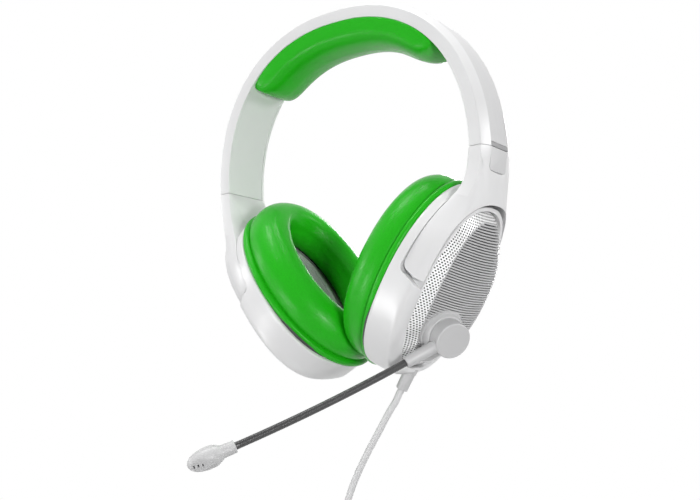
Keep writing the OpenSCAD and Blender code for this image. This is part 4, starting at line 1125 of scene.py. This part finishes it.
class HEADSET_OT_grilles(HeadsetPiece, bpy.types.Operator):
    """Builds the perforated borders, the slats and the cloth behind them"""
    bl_idname = "headset.grilles"
    bl_label = "Grilles"

    angles = np.linspace(0, 360, 128, endpoint=False)
    field = BOSS_R + 0.9
    slat_step = 0.8          # distance between points along a slat

    def make(self):
        for name, side in SIDES.items():
            place, body = in_cup(side), "cup_" + name
            make_piece("mesh_border_" + name, self.border(), body, "grille_border", "grille_rim_" + name,
                       place=place, sharp=50)
            make_piece("slats_" + name, self.slats(side), body, "grille_grey", "grille_slats_" + name,
                       place=place, sharp=50)
            make_piece("dust_cloth_" + name, self.cloth(), body, "inner_dark", place=place, finish="dust_cloth")

    def bowed(self, point, section):
        """Rings bowed to the dome, each from what it hands to point and how far it is sunk."""
        return [on_dome([point(reach, t) for t in self.angles], sink) for reach, sink in section]

    def border(self):
        """From the slats out to the lip of the neck, with a small rolled edge."""
        section = [(0.0, 0.3), (0.02, 0.06), (0.06, 0), *[(k / 10, 0) for k in range(1, 9)],
                   (0.88, 0.05), (0.92, 0.5), (0.93, 1.4)]
        rows = self.bowed(lambda s, t: mix(np.array(slat_edge(0, t)), self.outer_edge(t), s), section)
        back = [[(a - GRILLE_T, y, h) for a, y, h in rows[i]] for i in (len(rows) - 1, len(rows) // 2, 0)]
        return skin(rows + back, closed=True)

    def outer_edge(self, t):
        y, h = oval(GRILLE_RY, GRILLE_RH, NECK_N, t)
        return np.array((y, h + NECK_UP))

    def frame_ring(self):
        """The narrow moulded frame round the slats."""
        section = ((-0.05, 0.7), (-0.1, 0.35), (-0.2, 0.25), (-0.4, 0.25), (-0.5, 0.35), (-0.55, 0.7),
                   (-0.55, GRILLE_T), (-0.05, GRILLE_T))
        return skin(self.bowed(slat_edge, section), closed=True)

    def slats(self, side):
        count = details().slats
        pitch = 2 * (SLAT_RH - 0.7) / count
        shapes = [self.frame_ring()]
        for j in range(count + 1):
            shapes += self.row((j - count / 2) * pitch + NECK_UP, pitch * (1 - details().slot) / 2, side)
        if side > 0:
            shapes.append(self.plain_field())
        return together(*shapes)

    def row(self, h, w, side):
        """The slats of one row, parted by the plain field on the microphone's side."""
        share = 1 - min(1, abs(h - NECK_UP) / SLAT_RH) ** NECK_N
        half = SLAT_RY * share ** (1 / NECK_N) - 0.3
        parts = [[]]
        for y in np.linspace(SLAT_BACK - half, SLAT_BACK + half, max(4, int(half * 2 / self.slat_step))):
            a = float(dome_height(y, h))
            if side < 0 or from_mic(a, y, h) > self.field - 0.4:
                parts[-1].append((a, y))
            elif parts[-1]:
                parts.append([])
        return [self.slat(part, h, w) for part in parts if len(part) > 2]

    def slat(self, line, h, w):
        """One slat bowed along the dome, with an arched face."""
        section = [(0.16, -w), (0.03, -0.6 * w), (0, 0), (0.03, 0.6 * w), (0.16, w), (GRILLE_T, 0.85 * w),
                   (GRILLE_T, -0.85 * w)]
        return skin([[(a - sink, y, h + up) for sink, up in section] for a, y in line])

    def plain_field(self):
        """The plain moulded ring round the microphone."""
        section = ((BOSS_R - 1, 0), (BOSS_R + 1, 0), (self.field - 0.3, 0), (self.field, 0.3),
                   (self.field, GRILLE_T), (BOSS_R - 1, GRILLE_T))
        return skin(self.bowed(self.round_mic, section), closed=True)

    def round_mic(self, reach, t):
        """The (y, h) where a line along the pivot axis meets the dome, kept on the slatted part."""
        place = in_cup().inverted() @ on_mic()
        point = place @ Vector((reach * math.cos(rad(t)), reach * math.sin(rad(t)), 0))
        way = place.to_3x3() @ Vector((0, 0, 1))
        for _ in range(5):
            point += way * ((float(dome_height(point.y, point.z)) - point.x) / way.x)
        u, v = (point.y - SLAT_BACK) / (SLAT_RY - 0.5), (point.z - NECK_UP) / (SLAT_RH - 0.5)
        over = max(1.0, (abs(u) ** NECK_N + abs(v) ** NECK_N) ** (1 / NECK_N))
        return SLAT_BACK + u / over * (SLAT_RY - 0.5), NECK_UP + v / over * (SLAT_RH - 0.5)

    def cloth(self):
        """A thin cloth behind the grille, turned up at its edge."""
        section = ((0.04, 2.3), (0.3, 2.3), (0.55, 2.3), (0.75, 2.3), (0.9, 2.3), (0.985, 2.0), (0.985, 2.5),
                   (0.75, 2.8), (0.3, 2.8), (0.04, 2.8))
        return skin(self.bowed(lambda s, t: self.outer_edge(t) * s + (0, NECK_UP * (1 - s)), section))


class HEADSET_OT_ear_cushions(HeadsetPiece, bpy.types.Operator):
    """Builds the ear cushions, with their welt and the seam round the opening"""
    bl_idname = "headset.ear_cushions"
    bl_label = "Ear cushions"

    stations = 160
    mid_y, mid_h = CUP_RY - CUSHION_OUT - 1.1, CUP_RH - CUSHION_OUT - 0.9
    full = CUSHION_DEPTH * 0.34
    inner = CUSHION_IN - 1.2

    def make(self):
        shape = self.shape()
        for name, side in SIDES.items():
            cushion = make_piece("ear_cushion_cover_" + name, shape, "cup_" + name, "green_leatherette",
                                 "ear_cushion_" + name, place=mirrored(side), sharp=80)

    def section(self):
        """(towards the head, outwards) points: welt, drawn-in seam, full roll, seam round the opening, inner wall."""
        welt = [(0.15 - 1.65 * math.cos(rad(t)), CUSHION_OUT - 0.35 + 1.4 * math.sin(rad(t)))
                for t in range(-10, 171, 18)]
        points = [(0, CUSHION_OUT - 5)] + welt + [(2.0, CUSHION_OUT - 1.35)]
        for t in range(-14, 182, 6):
            c, s = math.cos(rad(t)), math.sin(rad(t))
            reach = CUSHION_OUT if c > 0 else self.inner
            tuck = 0.3 * math.exp(-((t - 158) / 5) ** 2)
            points.append((self.full + (CUSHION_DEPTH - self.full - tuck) * s, (reach - tuck) * c))
        points += [(self.full * 0.6, 0.2 - self.inner), (3.2, 0.7 - self.inner), (1.4, 1.3 - self.inner),
                   (0, 2.4 - self.inner)]
        return points

    def shape(self):
        section = self.section()
        rings = []
        for i in range(self.stations):
            t = 2 * math.pi * i / self.stations
            way = unit(np.array((math.cos(t) / self.mid_y, math.sin(t) / self.mid_h)))
            ring = []
            for a, out in section:
                swell = 0.12 * math.sin(7 * t + 0.4 * out) * math.sin(3 * t) * min(1, a / 6)
                point = cup_point(CARRIER_A - 0.1 - a, self.mid_y * math.cos(t) + way[0] * (out + swell),
                                  self.mid_h * math.sin(t) + way[1] * (out + swell) + CUSHION_UP)
                point[0] = 0.2 + self.pressed(point[0] - 0.2)
                ring.append(point)
            rings.append(ring)
        return skin(rings, closed=True)

    @staticmethod
    def pressed(x):
        """Flat where the two cushions press on each other, with a soft edge."""
        soft = 0.5
        return soft * math.log1p(math.exp(min(50.0, x / soft))) if x < 10 * soft else x


class HEADSET_OT_ear_cloths(HeadsetPiece, bpy.types.Operator):
    """Builds the cloth over foam inside the ear cushions"""
    bl_idname = "headset.ear_cloths"
    bl_label = "Ear cloths"

    def make(self):
        for name, side in SIDES.items():
            cloth = make_piece("ear_cloth_" + name, self.shape(), "cup_" + name, "ear_cloth", "ear_screen_" + name,
                               place=in_cup(side), sharp=60)

    def shape(self):
        """From the middle out: a low crown, a stitched channel, the rounded edge and the flange below."""
        front, depth = SHELF_A - BAFFLE_T - SCREEN_T, SCREEN_T
        rows = ((-38.2, 0), (-34, 0.02), (-30, 0.08), (-27.6, 0.16), (-27.0, 0.55), (-26.4, 0.2), (-24.6, 0.3),
                (-23, 0.7), (-22.1, 1.4), (-21.7, 2.3), (-21.6, 3.2), (-18, 3.4), (-15.4, 3.5), (-15, depth - 0.6),
                (-15, depth), (-38.2, depth))
        return skin([cup_ring((front + a, CUP_RY, CUP_RH, 2, 0, 0), grow) for grow, a in rows])


class HEADSET_OT_microphone(HeadsetPiece, bpy.types.Operator):
    """Builds the boom's boss, turning socket, cap, gooseneck and microphone"""
    bl_idname = "headset.microphone"
    bl_label = "Microphone"

    def make(self):
        boss = rounded([(SPINDLE_HOLE, -5, 0), (BOSS_R - 0.6, -5, 0.3), (BOSS_R, -4, 0.3), (BOSS_R, 1.5, 0.6),
                        (SOCKET_R + 0.6, BOSS_H, 0.5), (SPINDLE_HOLE, BOSS_H, 0)], steps=4)
        make_piece("boom_boss", ring_lathe(boss, 72), "cup_left", "mic_grey", "mic_boss", place=on_mic())
        dress_node("mic_spindle", "spring_steel")
        self.socket()
        rim = rounded([(SOCKET_R, 0, 0), (SOCKET_R, 0.75, 0.3), (SOCKET_R - 0.55, 1.2, 0.2),
                       (SOCKET_R - 1.2, 1.12, 0.2), (6, 1.05, 0)], closed=False, steps=4)
        cap = [(ON_AXIS, 0), (SOCKET_R - 0.25, 0), *rim, (3, 1.02), (ON_AXIS, 1.0)]
        make_piece("boom_knob_face", lathe(cap, 72), "boom", "mic_grey", "knob_cap",
                   place=on_mic() @ moved(0, 0, SOCKET_TOP))
        self.neck()
        self.head()

    def socket(self):
        body = rounded([(SPINDLE_HOLE, SOCKET_LOW, 0), (SOCKET_R, SOCKET_LOW, 0.4), (SOCKET_R, SOCKET_TOP, 0.25),
                        (SPINDLE_HOLE, SOCKET_TOP, 0)], steps=4)
        piece = build_mesh("boom_socket_moulding", placed(ring_lathe(body, 72), on_mic()))
        start = SOCKET_R - 0.8
        arm = rounded([(ON_AXIS, start, 0), (ARM_R + 0.1, start, 0), (ARM_R - 0.2, ARM_REACH, 0.5),
                       (NECK_HOLE, ARM_REACH, 0.1), (NECK_HOLE, ARM_REACH - 5, 0),
                       (ON_AXIS, ARM_REACH - 5, 0)], closed=False, steps=4)
        cut(piece, placed(lathe(arm, 48), on_boom() @ moved(0, 0, -ARM_DROP) @ turned(90, "Y")), "UNION")
        finish_piece(smooth_by_angle(piece, 40), "boom", "mic_grey", "boom_socket")

    def neck(self):
        """A ribbed sleeve over the bent core, plain where it enters its sockets."""
        start, end = NECK_FROM, HEAD_FROM - COLLAR_LEN + 3
        plain_start, plain_end, fade_over = start + 5, end - 4, 1.5
        rib, steps = details().neck_rib, 6
        count = int((end - start) / rib) * steps
        reaches = np.linspace(start, end, count + 1)
        path = np.array([along_neck(r).to_translation() for r in reaches])
        fade = smooth((reaches - plain_start) / fade_over) * smooth((plain_end - reaches) / fade_over)
        radii = NECK_R - 0.1 * fade * (0.5 + 0.5 * np.cos(2 * math.pi * reaches / rib)) ** 2
        make_piece("gooseneck_sleeve", tube(path, radii, 20), "boom", "neck_black", "gooseneck", sharp=70)

    def head(self):
        collar = rounded([(NECK_HOLE, -COLLAR_LEN, 0.1), (NECK_R + 1.15, -COLLAR_LEN, 0.35),
                          (NECK_R + 1.3, 0.6, 0), (NECK_HOLE, 0.6, 0)])
        place = along_neck(HEAD_FROM)
        make_piece("mic_collar_sleeve", ring_lathe(collar, 48), "boom", "mic_grey", "mic_collar",
                   place=place @ turned(90, "Y"))
        piece = build_mesh("microphone_head", placed(self.capsule(), place), 60)
        for i in (-1, 0, 1):
            cut(piece, placed(self.slot(HEAD_LEN * 0.73 + i * 1.9), place))
        finish_piece(smooth_by_angle(piece, 50), "boom", "mic_grey", "mic_housing")
        make_piece("mic_mesh", self.inside(), "boom", "capsule_black", "mic_capsule", place=place)

    def capsule(self):
        """An egg-shaped head whose outer side is pared to a slanted flat face towards its end."""
        rings, edge, steps = [], 0.22, 40
        for i in range(steps + 1):
            s = 0.5 - 0.5 * math.cos(math.pi * i / steps)
            r = mix(NECK_R + 1.45, MIC_R, math.sin(min(1.0, s / 0.3) * math.pi / 2))
            r *= max(0.02, 1 - max(0.0, (s - 0.36) / 0.64) ** 2.3) ** 0.5
            flat = mix(MIC_R, MIC_R * 0.42, smooth((s - 0.25) / 0.75))
            ring = []
            for t in circle(48):
                y, z = r * math.cos(t), r * math.sin(t)
                ring.append((s * HEAD_LEN, y, flat - edge * math.log1p(math.exp(min(60.0, (flat - z) / edge)))))
            rings.append(ring)
        return skin(rings)

    def slot(self, x):
        outline = arc(0, 0.75, 0.3, 0, 180, 6) + arc(0, -0.55, 0.3, 180, 360, 6)
        return skin([[(x + u, v, z) for u, v in outline] for z in (0.9, MIC_R + 1)])

    def inside(self):
        """The dark capsule under the slots."""
        return skin([[(HEAD_LEN * 0.7 + 3.2 * math.cos(t), 2.2 * math.sin(t), z) for t in circle(32)]
                     for z in (-0.4, 1.1)])


class HEADSET_OT_inner_parts(HeadsetPiece, bpy.types.Operator):
    """Gives the parts inside the cups their finishes"""
    bl_idname = "headset.inner_parts"
    bl_label = "Inner parts"

    def make(self):
        slots = {"baffle": "inner_dark", "driver_basket": "inner_dark", "driver_magnet": "magnet_plate",
                 "diaphragm": "diaphragm_film", "cushion_carrier": "inner_dark"}
        for name in SIDES:
            for node, slot in slots.items():
                dress_node(f"{node}_{name}", slot)
        dress_node("wiring_board", "board_green")


class HEADSET_PT_panel(bpy.types.Panel):
    """The headset's pieces and finishes"""
    bl_idname = "HEADSET_PT_panel"
    bl_label = "Headset"
    bl_space_type = "VIEW_3D"
    bl_region_type = "UI"
    bl_category = "Headset"

    def draw(self, context):
        for group in (context.scene.headset_colours, context.scene.headset_details):
            box = self.layout.box()
            for name in group.bl_rna.properties.keys():
                if name not in ("rna_type", "name"):
                    box.prop(group, name)
        for piece in PIECES:
            self.layout.operator(piece.bl_idname)


PIECES = (HEADSET_OT_stage, HEADSET_OT_lead, HEADSET_OT_band, HEADSET_OT_head_cushion, HEADSET_OT_yokes,
          HEADSET_OT_cups, HEADSET_OT_grilles, HEADSET_OT_ear_cushions, HEADSET_OT_ear_cloths,
          HEADSET_OT_microphone, HEADSET_OT_inner_parts)
CLASSES = (HeadsetColours, HeadsetDetails, *PIECES, HEADSET_PT_panel)


def register():
    for cls in CLASSES:
        bpy.utils.register_class(cls)
    bpy.types.Scene.headset_colours = bpy.props.PointerProperty(type=HeadsetColours)
    bpy.types.Scene.headset_details = bpy.props.PointerProperty(type=HeadsetDetails)


def unregister():
    del bpy.types.Scene.headset_details
    del bpy.types.Scene.headset_colours
    for cls in reversed(CLASSES):
        bpy.utils.unregister_class(cls)


def main():
    register()
    for piece in PIECES:
        getattr(bpy.ops.headset, piece.bl_idname.split(".")[1])()


if __name__ == "__main__":
    main()
